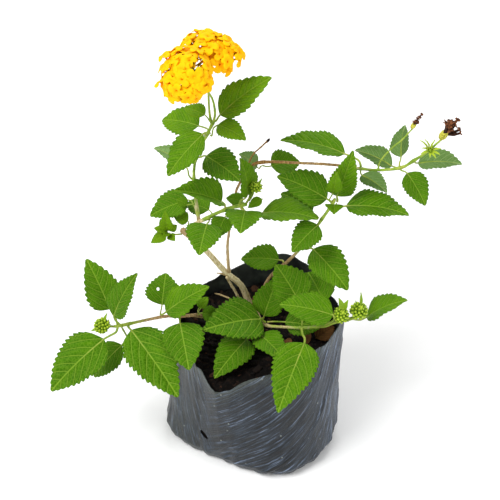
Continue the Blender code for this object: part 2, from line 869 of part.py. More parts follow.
def main():
    for old in list(bpy.data.objects):
        bpy.data.objects.remove(old)
    home = bpy.data.collections.new("potted_lantana")
    bpy.context.scene.collection.children.link(home)

    film = material("polythene_black", (0.022, 0.026, 0.03), 0.45)
    earth = material("potting_soil", (0.03, 0.022, 0.016), 0.95)
    bark = material("lantana_bark", (0.35, 0.26, 0.15), 0.8)
    green_stem = material("lantana_green_stem", (0.3, 0.4, 0.08), 0.6)
    blade = material("lantana_leaf", (0.1, 0.25, 0.03), 0.55)
    petal = material("lantana_petal", (1.0, 0.65, 0.0), 0.6)
    bud = material("lantana_bud", (0.35, 0.5, 0.06), 0.6)
    dead = material("lantana_dead_flower", (0.08, 0.05, 0.03), 0.9)

    make_bag(film, home)
    make_soil(earth, home)
    for key in ("main", "thin", "branch", "right"):
        STEMS[key].make(bark, home)
    for key in ("left", "low"):
        STEMS[key].make(green_stem, home)
    for name, stem, at, leaves in LEAVES:
        make_leaves(name, stem, at, leaves, blade, home)
    make_heads(petal, home)
    make_buds(bud, home)
    make_dead_heads(dead, home)
    make_rosette(blade, home)


main()
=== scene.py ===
# %% [markdown]
# # A potted lantana
#
# A young lantana in a black nursery bag: woody stems, quilted and toothed leaves, two domes of yellow
# florets, green bud heads and two spent ones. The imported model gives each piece's place and size as a
# plain solid. Here each one gets the surface that the eye expects, and stays where its solid is.

# %% Load the frame and measure it
import math
import random

import bmesh
import bpy
import numpy as np
from mathutils import Matrix, Vector, noise


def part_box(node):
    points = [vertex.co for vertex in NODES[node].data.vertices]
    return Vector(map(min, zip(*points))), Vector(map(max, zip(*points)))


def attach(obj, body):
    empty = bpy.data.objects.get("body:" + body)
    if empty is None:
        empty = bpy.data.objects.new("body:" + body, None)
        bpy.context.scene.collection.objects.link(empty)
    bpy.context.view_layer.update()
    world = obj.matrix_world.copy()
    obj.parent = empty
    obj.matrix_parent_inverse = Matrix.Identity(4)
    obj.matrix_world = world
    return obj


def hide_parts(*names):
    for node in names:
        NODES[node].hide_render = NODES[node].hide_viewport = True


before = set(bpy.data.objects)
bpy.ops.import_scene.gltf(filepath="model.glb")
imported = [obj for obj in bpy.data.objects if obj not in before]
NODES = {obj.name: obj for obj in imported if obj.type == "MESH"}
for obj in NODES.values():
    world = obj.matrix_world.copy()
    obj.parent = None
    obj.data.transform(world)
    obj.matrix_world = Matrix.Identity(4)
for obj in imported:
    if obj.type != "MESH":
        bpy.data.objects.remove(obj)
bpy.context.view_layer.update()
MM = 0.001
noise.seed_set(5)  # or else noise_vector starts from the clock
print("nodes:", len(NODES))

# %% [markdown]
# ## The camera
#
# The plant was photographed from in front, about 40 degrees above it, with a long lens. A point of the
# object can be found again from the pixel where it shows and its depth behind the bag's middle, which is
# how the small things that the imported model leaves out, such as a dry leaf on the soil, find their place.

# %% Set the camera
ELEVATION = math.radians(40)
DISTANCE = 800 * MM
TARGET = Vector((-3, 0, 137)) * MM
PIXEL = 0.56 * MM  # at the target's distance
MIDDLE = 250  # the view's middle pixel
SENSOR = 36  # mm
AWAY = Vector((0, math.cos(ELEVATION), -math.sin(ELEVATION)))
VIEW_UP = Vector((0, math.sin(ELEVATION), math.cos(ELEVATION)))
EYE = TARGET - AWAY * DISTANCE

lens = bpy.data.cameras.new("camera")
lens.sensor_width = SENSOR
lens.lens = SENSOR * DISTANCE / (2 * MIDDLE * PIXEL)
camera = bpy.data.objects.new("camera", lens)
camera.location = EYE
camera.rotation_euler = (math.pi / 2 - ELEVATION, 0, 0)
bpy.context.scene.collection.objects.link(camera)
bpy.context.scene.camera = camera


def seen(px, py, depth):
    """The point that shows at pixel px, py and lies depth mm behind the bag's middle."""
    ray = AWAY * DISTANCE
    ray += Vector((1, 0, 0)) * ((px - MIDDLE) * PIXEL)
    ray += VIEW_UP * ((MIDDLE - py) * PIXEL)
    return EYE + ray * ((depth * MM - EYE.y) / ray.y)


print("lens:", round(lens.lens, 1), "mm")

# %% [markdown]
# ## Floor and light
#
# A large pale floor and big soft lights give the even, nearly shadowless light of a plant on a white
# sweep. The main light comes from above and a little to the left, so leaves show their quilting.

# %% Lay the floor and hang the lights
FLOOR_SIDE = 6
AMBIENT = 0.58
bpy.ops.object.select_all(action="DESELECT")
bpy.ops.mesh.primitive_plane_add(size=FLOOR_SIDE)
floor = bpy.context.object
floor.name = "floor"
paper = bpy.data.materials.new("white_paper_matt")
paper.use_nodes = True
paper.node_tree.nodes["Principled BSDF"].inputs["Base Color"].default_value = (1, 1, 1, 1)
paper.node_tree.nodes["Principled BSDF"].inputs["Roughness"].default_value = 1
floor.data.materials.append(paper)


def soft_light(name, place, size, watts):
    """A square light that faces the plant, its size in metres."""
    bpy.ops.object.light_add(type="AREA", location=place)
    light = bpy.context.object
    light.name = name
    light.data.size = size
    light.data.energy = watts
    light.rotation_euler = (TARGET - Vector(place)).to_track_quat("-Z", "Y").to_euler()


soft_light("key", (-0.7, -0.5, 1.3), 0.7, 18)
soft_light("fill", (1.2, -0.8, 0.7), 1.0, 7)
soft_light("back", (0.2, 1.2, 1.0), 0.8, 8)
world = bpy.data.worlds.new("studio")
world.use_nodes = True
world.node_tree.nodes["Background"].inputs["Color"].default_value = (1, 1, 1, 1)
world.node_tree.nodes["Background"].inputs["Strength"].default_value = AMBIENT
bpy.context.scene.world = world
bpy.context.scene.view_settings.view_transform = "Standard"  # no film curve

# %% [markdown]
# ## Tools for materials
#
# Colours are written as sRGB hex values, as they are read off a photo, and turned to linear light here.
# One function adds a node with its settings and links, so a material reads as a list of what it does, and
# another makes the simple materials, whose colour and relief come from one pattern.

# %% Material helpers


def colour(code):
    """A linear colour from an sRGB hex value."""
    parts = [int(code[i : i + 2], 16) / 255 for i in (1, 3, 5)]
    return (*[c / 12.92 if c <= 0.04045 else ((c + 0.055) / 1.055) ** 2.4 for c in parts], 1.0)


def new_material(name, roughness, specular):
    """A material, its node tree and its Principled shader."""
    made = bpy.data.materials.new(name)
    made.use_nodes = True
    shader = made.node_tree.nodes["Principled BSDF"]
    shader.inputs["Roughness"].default_value = roughness
    shader.inputs["Specular IOR Level"].default_value = specular
    return made, made.node_tree, shader


def node(tree, kind, inputs=(), stops=(), **settings):
    """Adds a node. Inputs are pairs of a socket and its value or source, and stops are a ramp's."""
    made = tree.nodes.new("ShaderNode" + kind)
    for key, value in settings.items():
        setattr(made, key, value)
    if stops:
        elements = made.color_ramp.elements
        elements[0].position, elements[1].position = stops[0][0], stops[-1][0]
        for place, _ in stops[1:-1]:
            elements.new(place)
        for element, (_, value) in zip(elements, stops):
            element.color = colour(value) if isinstance(value, str) else (value, value, value, 1)
    for socket, value in inputs:
        if isinstance(value, bpy.types.Node):
            value = next(out for out in value.outputs if out.enabled)
        if isinstance(value, bpy.types.NodeSocket):
            tree.links.new(value, made.inputs[socket])
        else:
            made.inputs[socket].default_value = colour(value) if isinstance(value, str) else value
    return made


def give(tree, shader, base, height, millimetres):
    """Sets the shader's base colour, and its bump from a height of 0 to 1 that is so many mm deep."""
    tree.links.new(next(out for out in base.outputs if out.enabled), shader.inputs["Base Color"])
    relief = node(tree, "Bump", [("Height", height), ("Distance", millimetres * MM)])
    tree.links.new(relief.outputs[0], shader.inputs["Normal"])


def speckled(
    name, roughness, specular, pattern, stops, depth, kind="TexNoise", read=None, share=0, fine=None
):
    """A material whose colour runs through stops by a pattern in space, which is its relief too.

    A share of the pattern may be added to the attribute that is read, and the relief may be a finer pattern.
    """
    made, tree, shader = new_material(name, roughness, specular)
    place = node(tree, "TexCoord").outputs["Object"]
    shade = height = node(tree, kind, [("Vector", place), *pattern.items()])
    if fine:
        height = node(tree, kind, [("Vector", place), *fine.items()])
    if read:
        told = node(tree, "Attribute", attribute_name=read).outputs["Fac"]
        shade = node(tree, "Math", [(0, shade), (1, share), (2, told)], operation="MULTIPLY_ADD")
    base = node(tree, "ValToRGB", [(0, shade)], stops=stops)
    give(tree, shader, base, height, depth)
    return made


FIRST, SECOND = 6, 7  # a Mix node's colour sockets
print("material helpers ready")

# %% [markdown]
# ## Tools for pieces
#
# Operators act on whatever is selected, so each helper first deselects all. A imported solid is a heap of
# loose triangles, so a copy of it is merged before it is used. A piece that is ready hides the solids it
# stands for, and rides with the one body.

# %% Piece helpers
SOLID_WELD, ROD_WELD, GRID_WELD = 0.004, 0.002, 0.01  # in mm, below which vertices of each are one
HOLE_EDGE = 1.15  # faces are cut out up to this share of a hole's size,
HOLE_PULL = 1.6  # and edge vertices up to this share are drawn onto its oval


def select(*objects):
    """Selects these objects alone and makes the first one active."""
    bpy.ops.object.select_all(action="DESELECT")
    for obj in objects:
        obj.select_set(True)
    bpy.context.view_layer.objects.active = objects[0]


def apply(obj, kind, **settings):
    """Adds a modifier with its settings and applies it."""
    modifier = obj.modifiers.new(kind, kind)
    for key, value in settings.items():
        setattr(modifier, key, value)
    select(obj)
    bpy.ops.object.modifier_apply(modifier=modifier.name)


def merge(obj, millimetres):
    """Merges vertices that are closer than this."""
    select(obj)
    bpy.ops.object.mode_set(mode="EDIT")
    bpy.ops.mesh.select_all(action="SELECT")
    bpy.ops.mesh.remove_doubles(threshold=millimetres * MM)
    bpy.ops.object.mode_set(mode="OBJECT")


def new_object(name, mesh):
    """An object for a mesh, without materials."""
    made = bpy.data.objects.new(name, mesh)
    made.data.materials.clear()
    bpy.context.scene.collection.objects.link(made)
    return made


def primitive(add, **settings):
    """What an operator adds, with nothing else selected."""
    bpy.ops.object.select_all(action="DESELECT")
    add(**settings)
    return bpy.context.object


def mesh_of(made):
    """An object's mesh, kept to be copied, while the object goes."""
    plan = made.data
    bpy.data.objects.remove(made)
    return plan


def solid_copy(name):
    """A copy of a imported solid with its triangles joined."""
    made = new_object(name + "_copy", NODES[name].data.copy())
    merge(made, SOLID_WELD)
    return made


def joined(objects, name):
    """Several objects made one."""
    select(*objects)
    if len(objects) > 1:
        bpy.ops.object.join()
    objects[0].name = name
    objects[0].data.name = name
    return objects[0]


def mark(mesh, name, values):
    """Gives the vertices a number each, or all the same one, which a material can read."""
    attribute = mesh.attributes.get(name) or mesh.attributes.new(name, "FLOAT", "POINT")
    values = np.broadcast_to(np.asarray(values, dtype=np.float32), (len(mesh.vertices),))
    attribute.data.foreach_set("value", np.ascontiguousarray(values))


def set_map(mesh, name, across, along):
    """Stores a map, told as two numbers for each vertex, under a name."""
    corner = np.array([loop.vertex_index for loop in mesh.loops])
    layer = mesh.uv_layers.new(name=name)
    layer.data.foreach_set("uv", np.stack([across, along], axis=1)[corner].astype(np.float32).ravel())


def points_of(mesh):
    """The vertices' places as an array of rows."""
    flat = np.empty(len(mesh.vertices) * 3)
    mesh.vertices.foreach_get("co", flat)
    return flat.reshape(-1, 3)


def move_points(mesh, places):
    """Moves each vertex to its row of an array."""
    mesh.vertices.foreach_set("co", np.ascontiguousarray(places, dtype=np.float32).ravel())
    mesh.update()


def open_hole(sheet, pixel, size, slant=0):
    """Cuts an oval hole, its half widths in size, where a pixel's ray meets a sheet, and rounds its edge."""
    hit, centre, normal, _ = sheet.ray_cast(EYE, (seen(*pixel, 0) - EYE).normalized())
    if not hit:
        return False
    level = Vector((0, 0, 1)).cross(normal).normalized()
    side = level * math.cos(slant) + normal.cross(level) * math.sin(slant)
    upward = normal.cross(side)
    shape = bmesh.new()
    shape.from_mesh(sheet.data)
    reach = 2.5 * max(size)
    close = [edge for edge in shape.edges if all((v.co - centre).length < reach for v in edge.verts)]
    bmesh.ops.subdivide_edges(shape, edges=close, cuts=2, use_grid_fill=True)
    near = {}  # how far out a vertex lies, where 1 is the edge of the hole
    for vertex in shape.verts:
        away = vertex.co - centre
        if away.length < reach:
            near[vertex] = Vector((away.dot(side) / size[0], away.dot(upward) / size[1]))
    inside = [
        face for face in shape.faces if all(v in near and near[v].length < HOLE_EDGE for v in face.verts)
    ]
    bmesh.ops.delete(shape, geom=inside, context="FACES")
    for vertex, flat in near.items():
        if vertex.is_valid and vertex.is_boundary and vertex.link_faces and flat.length < HOLE_PULL:
            vertex.co += (side * flat.x * size[0] + upward * flat.y * size[1]) * (1 / flat.length - 1)
    loose = [vertex for vertex in shape.verts if not vertex.link_faces]
    bmesh.ops.delete(shape, geom=loose, context="VERTS")
    shape.to_mesh(sheet.data)
    shape.free()
    return True


def ready(piece, slot, *nodes):
    """Smooths a finished piece, sets it on the root body, and hides the solids it stands for."""
    select(piece)
    bpy.ops.object.shade_smooth()
    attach(piece, "root")
    if nodes:
        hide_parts(*nodes)


def smooth_table(knots, values, at):
    """Reads a table of values between its knots, along a smooth curve."""
    knots, values, at = np.asarray(knots, float), np.asarray(values, float), np.asarray(at, float)
    slopes = np.gradient(values, knots, axis=0)
    i = np.clip(np.searchsorted(knots, at, side="right") - 1, 0, len(knots) - 2)
    step = (knots[i + 1] - knots[i]).reshape(-1, *[1] * (values.ndim - 1))
    f = (at - knots[i]).reshape(step.shape) / step
    ease = f * f * (3 - 2 * f)
    lean = step * f * (1 - f) * (slopes[i] * (1 - f) - slopes[i + 1] * f)
    return values[i] * (1 - ease) + values[i + 1] * ease + lean


def stalk(points, radii, surface=None, sides=6):
    """A closed round rod through points, with a radius in mm at each."""
    rod = bpy.data.curves.new("stalk", "CURVE")
    rod.dimensions = "3D"
    rod.bevel_depth = MM
    rod.bevel_resolution = (sides - 4) // 2
    rod.use_fill_caps = True
    spline = rod.splines.new("POLY")
    spline.points.add(len(points) - 1)
    for place, point, radius in zip(spline.points, points, radii):
        place.co = (*point, 1)
        place.radius = radius
    made = bpy.data.objects.new("stalk", rod)
    bpy.context.scene.collection.objects.link(made)
    select(made)
    bpy.ops.object.convert(target="MESH")
    merge(made, ROD_WELD)
    if surface:
        made.data.materials.append(surface)
    return made


def stamped(plan, matrix, surface=None, **marks):
    """A copy of a modelled thing with its own mesh, put in place, and marked for its material."""
    made = new_object("copy", plan.copy())
    for one in [surface] if surface else plan.materials:
        made.data.materials.append(one)
    made.data.transform(matrix)
    for name, value in marks.items():
        mark(made.data, name, value)
    return made


def pointing(place, way, turn=0.0, size=1.0):
    """The placing of something that points up, so that it points along a way."""
    tilt = Vector(way).to_track_quat("Z", "Y").to_matrix().to_4x4()
    return Matrix.Translation(place) @ tilt @ Matrix.Rotation(turn, 4, "Z") @ Matrix.Scale(size, 4)


print("piece helpers ready")

# %% [markdown]
# ## Leaf materials
#
# A lantana leaf is rough and quilted. Pale veins run out from a pale midrib and curve towards the tip, and
# a fine net of smaller veins fills the panels between them. The pattern has to follow the leaf, so each
# blade carries a map whose x runs from edge to edge and whose y counts the side veins: a side vein lies
# wherever y is whole. A second map, with y from base to tip, carries the net, in cells about 1.8 mm wide.

# %% Leaf materials
LEAF_VEINS = 0.155  # distance of side veins, as a share of a leaf's length
NET = (17, 28, 1)  # cells of the fine net across a leaf and along it


def leaf_material(name, roughness, greens, vein, vein_share, sunk):
    """A leaf surface: three greens from dark to light, the veins' colour and how far it shows."""
    made, tree, shader = new_material(name, roughness, 0.06)
    map_point = node(tree, "UVMap", uv_map="veins")
    split = node(tree, "SeparateXYZ", [(0, map_point)])
    rib_near = node(tree, "Math", [(0, split.outputs["X"]), (1, 0.5)], operation="PINGPONG")
    rib = node(tree, "ValToRGB", [(0, rib_near)], stops=[(0.478, 0.0), (0.488, 0.5), (0.496, 1.0)])
    vein_near = node(tree, "Math", [(0, split.outputs["Y"]), (1, 0.5)], operation="PINGPONG")
    side_vein = node(tree, "ValToRGB", [(0, vein_near)], stops=[(0.015, 1.0), (0.04, 0.4), (0.08, 0.0)])
    veins = node(tree, "Math", [(0, rib), (1, side_vein)], operation="MAXIMUM", use_clamp=True)
    flat_point = node(tree, "UVMap", uv_map="blade")
    stretched = node(tree, "Mapping", [("Vector", flat_point), ("Scale", NET)])
    net = node(tree, "TexVoronoi", [("Vector", stretched), ("Scale", 1.0)], feature="DISTANCE_TO_EDGE")
    net_line = node(tree, "ValToRGB", [(0, net)], stops=[(0.0, 1.0), (0.1, 0.35), (0.22, 0.0)])

    place = node(tree, "TexCoord").outputs["Object"]
    patches = node(tree, "TexNoise", [("Vector", place), ("Scale", 90), ("Detail", 3)])
    tone = node(tree, "Attribute", attribute_name="tone").outputs["Fac"]
    shade = node(tree, "Math", [(0, patches), (1, 0.45), (2, tone)], operation="MULTIPLY_ADD")
    # Painted light: each panel between side veins is lighter in its middle and darker by the veins, standing
    # in for raised quilting that is lit and valleys that are shaded
    panel_painted_light = node(tree, "Math", [(0, vein_near), (1, 0.3), (2, shade)], operation="MULTIPLY_ADD")
    dark, middle, light = greens
    green = node(tree, "ValToRGB", [(0, panel_painted_light)], stops=[(0.2, dark), (0.62, middle), (1.0, light)])
    netted = node(tree, "Mix", [(0, net_line), (FIRST, green), (SECOND, vein)], data_type="RGBA")
    fade = node(tree, "Math", [(0, net_line), (1, 0.2)], operation="MULTIPLY")
    tree.links.new(fade.outputs[0], netted.inputs[0])
    shown = node(tree, "Math", [(0, veins), (1, vein_share)], operation="MULTIPLY")
    base = node(tree, "Mix", [(0, shown), (FIRST, netted), (SECOND, vein)], data_type="RGBA")

    hairs = node(tree, "TexNoise", [("Vector", place), ("Scale", 2600), ("Detail", 1)])
    lines = node(tree, "Math", [(0, net_line), (1, 0.45), (2, veins)], operation="MULTIPLY_ADD")
    sign = -1.0 if sunk else 1.0
    height = node(tree, "Math", [(0, lines), (1, sign), (2, hairs)], operation="MULTIPLY_ADD")
    give(tree, shader, base, height, 0.16)
    return made


# A rough, hairy upper side: hardly any gloss, with the light broken up by quilting
LEAF_UPPER = leaf_material(
    "lantana_leaf_upper_rough_hairy", 0.5, ("#1f4900", "#427200", "#6c9602"), "#97b83c", 0.55, sunk=True
)
# The under side is paler and greyer, matt with down, and its veins stand out
LEAF_UNDER = leaf_material(
    "lantana_leaf_under_downy", 0.75, ("#4f7434", "#688d47", "#84a565"), "#a9c07f", 0.7, sunk=False
)


# A young green stalk is faintly ribbed and hairy: a soft yellow-green with a browner lit side
STALK = speckled(
    "lantana_green_stalk", 0.55, 0.3, {"Scale": 160, "Detail": 2},
    [(0.3, "#6f8a22"), (0.55, "#93a63c"), (0.75, "#a9a552")], 0.1, fine={"Scale": 2400, "Detail": 1},
)
print("leaf materials:", LEAF_UPPER.name, LEAF_UNDER.name, STALK.name)

# %% [markdown]
# ## The leaf's blade
#
# All the leaves have one plan: an oval blade with hooked teeth. So a flat grid is modelled in three
# sizes, with three to six rows of faces to a tooth, and copied. Each copy is laid on a smooth patch through
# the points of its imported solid, which keeps that leaf's place, size, arch and fold. Then the copy gets what
# the solid lacks: teeth, panels that swell between sunken veins, a grooved midrib and a wavy edge.

# %% The flat blades
STATIONS = (0, 0.06, 0.17, 0.32, 0.5, 0.68, 0.84, 0.94, 1)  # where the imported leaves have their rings
SHARES = (0.05, 0.5, 0.86, 1.0, 0.92, 0.69, 0.4, 0.17, 0.0)  # and their half widths there
COLUMNS = (-1, -0.5, 0, 0.5, 1)
VEIN_RISE, VEIN_BEND = 0.27, 0.2  # how far a side vein runs towards the tip by the leaf's edge
TOOTH_DEPTH = 0.11  # of the half width
TOOTH_HOOK = 0.013  # how far a tooth's tip leans forward, as a share of the leaf's length
TYPICAL = 50 * MM  # length of the leaf for which the relief's depths are given
QUILTING = 0.75 * MM
GROOVE = 0.45 * MM
WAVE = 0.7 * MM
BLADE_THICKNESS = 0.3 * MM
BITE = (0.85 * MM, 0.95 * MM)  # half widths of a hole eaten in a leaf


def flat_blade(teeth, rows_a_tooth, across):
    """A flat grid with its own place on the leaf stored in two maps: across and along, and the veins."""
    rows = teeth * rows_a_tooth
    grid = primitive(bpy.ops.mesh.primitive_grid_add, x_subdivisions=across, y_subdivisions=rows, size=1)
    plan = mesh_of(grid)
    places = points_of(plan)
    u, t = np.round(places[:, 0] * 2, 4), np.round(places[:, 1] + 0.5, 4)
    share = smooth_table(STATIONS, SHARES, t)
    spread = np.abs(u) * share
    veins = (t**1.1 - VEIN_RISE * spread - VEIN_BEND * spread**2) / LEAF_VEINS
    plan.uv_layers.remove(plan.uv_layers[0])
    set_map(plan, "veins", 0.5 + 0.5 * u * share, veins)
    set_map(plan, "blade", 0.5 * u * share, t)
    turn = (t * teeth) % 1
    tooth = np.sin(np.pi * turn**1.6) ** 0.7 * np.clip(9 * t, 0, 1)
    return {"mesh": plan, "u": u, "t": t, "tooth": tooth, "spread": spread, "veins": veins}


LARGE_BLADE = flat_blade(15, 5, 18)
MEDIUM_BLADE = flat_blade(10, 6, 14)
SMALL_BLADE = flat_blade(9, 3, 8)
print("blade:", len(LARGE_BLADE["mesh"].polygons), "faces; small:", len(SMALL_BLADE["mesh"].polygons))

# %% [markdown]
# ## Laying a blade on its leaf
#
# A packed leaf is a loft through rings of eight points. Walking out from the tip over the edges gives the
# rings back in order. In a ring of the blade the two points farthest apart are its edges, and three lie
# between them on the upper side.

# %% Read the rings of a packed leaf
RING = 8  # points in a ring
RINGS = 11  # from a leaf's tip to its stalk's foot


def ring_order(layer):
    """A ring's points in order round it."""
    waiting = set(layer)
    found = [min(layer, key=lambda v: v.index)]
    while found:
        waiting.discard(found[-1])
        near = [edge.other_vert(found[-1]) for edge in found[-1].link_edges]
        near = sorted((v for v in near if v in waiting), key=lambda v: v.index)
        if not near:
            break
        found.append(near[0])
    return [v.co.copy() for v in found]


def layers_from(tip):
    """The vertices in layers by how many edges lie between them and a tip."""
    met, layers = {tip}, [[tip]]
    while True:
        layer = {edge.other_vert(v) for v in layers[-1] for edge in v.link_edges} - met
        if not layer:
            return layers
        met |= layer
        layers.append(sorted(layer, key=lambda v: v.index))


def leaves_of(name):
    """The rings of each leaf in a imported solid, from the tip to the stalk's foot."""
    copy = solid_copy(name)
    shape = bmesh.new()
    shape.from_mesh(copy.data)
    shape.verts.ensure_lookup_table()
    found = []
    for vertex in shape.verts:
        if len(vertex.link_edges) != RING:
            continue
        layers = layers_from(vertex)
        sizes = [len(layer) for layer in layers[1:]]
        if sizes in ([RING] * RINGS, [RING] * RINGS * 2 + [1]):
            found.append([[vertex.co.copy()]] + [ring_order(layer) for layer in layers[1 : RINGS + 1]])
    shape.free()
    bpy.data.objects.remove(copy)
    return found


def middle(ring):
    """The middle of a ring of points."""
    return sum(ring, Vector()) / len(ring)


def leaf_plan(rings):
    """A leaf's table of points on its upper side, its stalk's centreline, its length and the way it faces."""
    tip, blade, stem = rings[0][0], rings[1:8], rings[8:12]
    base = middle(stem[0])
    along = (tip - base).normalized()
    rows, up = [], Vector()
    for ring in blade:
        first = max(range(4), key=lambda k: (ring[k] - ring[k + 4]).length)
        turned = ring[first:] + ring[:first]
        one, other = turned[0:5], [turned[0]] + turned[:3:-1]
        up += (turned[0] + turned[4]) / 2 - (one[2] + other[2]) / 2
        rows.append((one, other))
    up = (up - along * up.dot(along)).normalized()
    across = along.cross(up)
    table = [[tip] * 5]
    for one, other in rows:
        upper = max(one, other, key=lambda side: side[2].dot(up))
        if (upper[4] - upper[0]).dot(across) < 0:
            upper = upper[::-1]
        table.append(upper)
    table.append([base + across * (k * 0.7 * MM) + up * (0.3 * MM) for k in COLUMNS])
    line = [middle(ring) for ring in stem[::-1]]
    return {"table": np.array(table[::-1], float), "line": line, "length": (tip - base).length, "up": up}


def laid_blade(plan, blade, chance, hole=None):
    """A copy of a flat blade on a leaf's surface, with teeth and relief, and perhaps a hole at a pixel."""
    t, u = blade["t"], blade["u"]
    levels, places_of_t = np.unique(t, return_inverse=True)
    sides, places_of_u = np.unique(u, return_inverse=True)
    rows = smooth_table(STATIONS, plan["table"], levels).swapaxes(0, 1)
    patch = smooth_table(COLUMNS, rows, sides)
    slope_u, slope_t = np.gradient(patch, axis=0), np.gradient(patch, axis=1)
    normals = np.cross(slope_u, slope_t)
    normals += np.array(plan["up"]) * 1e-9
    normals /= np.linalg.norm(normals, axis=2, keepdims=True)
    rib = patch[len(sides) // 2][places_of_t]
    place, normal = patch[places_of_u, places_of_t], normals[places_of_u, places_of_t]

    at_edge = np.abs(u) ** 6
    place = rib + (place - rib) * (1 + TOOTH_DEPTH * (blade["tooth"] - 0.7) * at_edge)[:, None]
    place += (rib[t == 1][0] - rib[t == 0][0]) * (TOOTH_HOOK * blade["tooth"] * at_edge)[:, None]
    scale = min(1.1, plan["length"] / TYPICAL)
    spread = blade["spread"]
    swell = np.sin(np.pi * blade["veins"]) ** 2 * np.clip(spread * 5, 0, 1) * (1 - 0.6 * np.abs(u) ** 4)
    relief = QUILTING * swell * np.clip(8 * t * (1.05 - t), 0, 1)
    relief -= GROOVE * np.exp(-((spread / 0.07) ** 2))
    phase = chance.uniform(0, math.tau)
    edge_wave = np.sin(t * chance.uniform(14, 20) + np.sign(u) * 1.3 + phase)
    relief += WAVE * edge_wave * np.abs(u) ** 3 * np.clip(5 * t * (1 - t), 0, 1)
    place = place + normal * (relief * scale)[:, None]

    made = new_object("blade", blade["mesh"].copy())
    move_points(made.data, place)
    merge(made, GRID_WELD)
    if hole:
        print("hole in a leaf:", open_hole(made, hole, BITE))
    made.data.materials.append(LEAF_UPPER)
    made.data.materials.append(LEAF_UNDER)
    apply(made, "SOLIDIFY", thickness=BLADE_THICKNESS, offset=-1, material_offset=1, use_rim=True)
    centre = np.where((u == 0) & (t > 0.03) & (t < 0.9))[0]
    centre = centre[np.argsort(t[centre])][::3]
    made["rib"] = [float(value) for value in (place[centre] - normal[centre] * BLADE_THICKNESS).ravel()]
    return made


print("leaves in leaves_top_a:", len(leaves_of("leaves_top_a")))

# %% [markdown]
# ## The leaves
#
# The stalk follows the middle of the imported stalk's rings, and goes on under the blade as the raised
# midrib. Leaves differ in tone: those at the top and at a shoot's tip are young and yellow-green, and
# those low in the plant are older and darker. Each leaf gets one number for it, which its material reads.

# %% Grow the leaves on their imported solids
TONES = {
    "leaves_top_a": 0.42, "leaves_top_b": 0.4, "leaf_top_front": 0.38, "leaf_side_back": 0.42,
    "leaf_mid_right": 0.22, "leaves_bud_a": 0.36, "leaves_bud_b": 0.36, "leaf_mid_front": 0.34,
    "leaves_mid_a": 0.34, "leaf_stub": 0.4, "leaves_apex_a": 0.24, "leaves_apex_b": 0.36,
    "leaf_apex_front": 0.45, "leaves_branch_b": 0.36, "leaf_front_right": 0.36, "leaf_left_small": 0.42,
    "leaves_left_c": 0.3, "leaves_left_a": 0.26, "leaf_left_front": 0.28, "leaves_front_a": 0.16,
    "leaf_front_low": 0.2, "leaves_front_c": 0.3, "leaf_right_low": 0.26,
}
USUAL_TONE = 0.28
SHORT = 34 * MM  # a leaf shorter than this has fewer teeth
HOLES = {"leaves_left_c": (158, 289)}  # pixel of an eaten hole
STALK_SMOOTHING = 3  # steps from one point of a stalk to the next


def grown_leaf(plan, blade, tone, chance, hole=None):
    """A blade with its stalk and midrib."""
    laid = laid_blade(plan, blade, chance, hole)
    rib = np.array(laid["rib"]).reshape(-1, 3)
    points = np.array([*plan["line"], *rib], float)
    last = len(points) - 1
    line = smooth_table(range(len(points)), points, np.linspace(0, last, last * STALK_SMOOTHING + 1))
    share = np.linspace(0, 1, len(line))
    scale = min(1.0, 0.35 + 0.65 * plan["length"] / TYPICAL)
    radii = np.interp(share, (0, 0.1, 0.3, 0.6, 1), (0.85, 0.7, 0.62, 0.34, 0.1)) * scale
    rod = stalk(line, radii, STALK)
    for part in (laid, rod):
        mark(part.data, "tone", tone)
    return [laid, rod]


chance = random.Random(7)
STALK_FEET = []
LEAF_NODES = sorted(name for name in NODES if name.startswith(("leaf_", "leaves_")))
grown = 0
for name in LEAF_NODES:
    parts = []
    for rings in leaves_of(name):
        tone = TONES.get(name, USUAL_TONE) + chance.uniform(-0.05, 0.05)
        plan = leaf_plan(rings)
        STALK_FEET.append(plan["line"][0])
        blade = MEDIUM_BLADE if plan["length"] < SHORT else LARGE_BLADE
        parts += grown_leaf(plan, blade, tone, chance, HOLES.get(name))
        grown += 1
    ready(joined(parts, name + "_blades"), "leaf", name)
print("leaves grown:", grown, "on", len(LEAF_NODES), "solids")
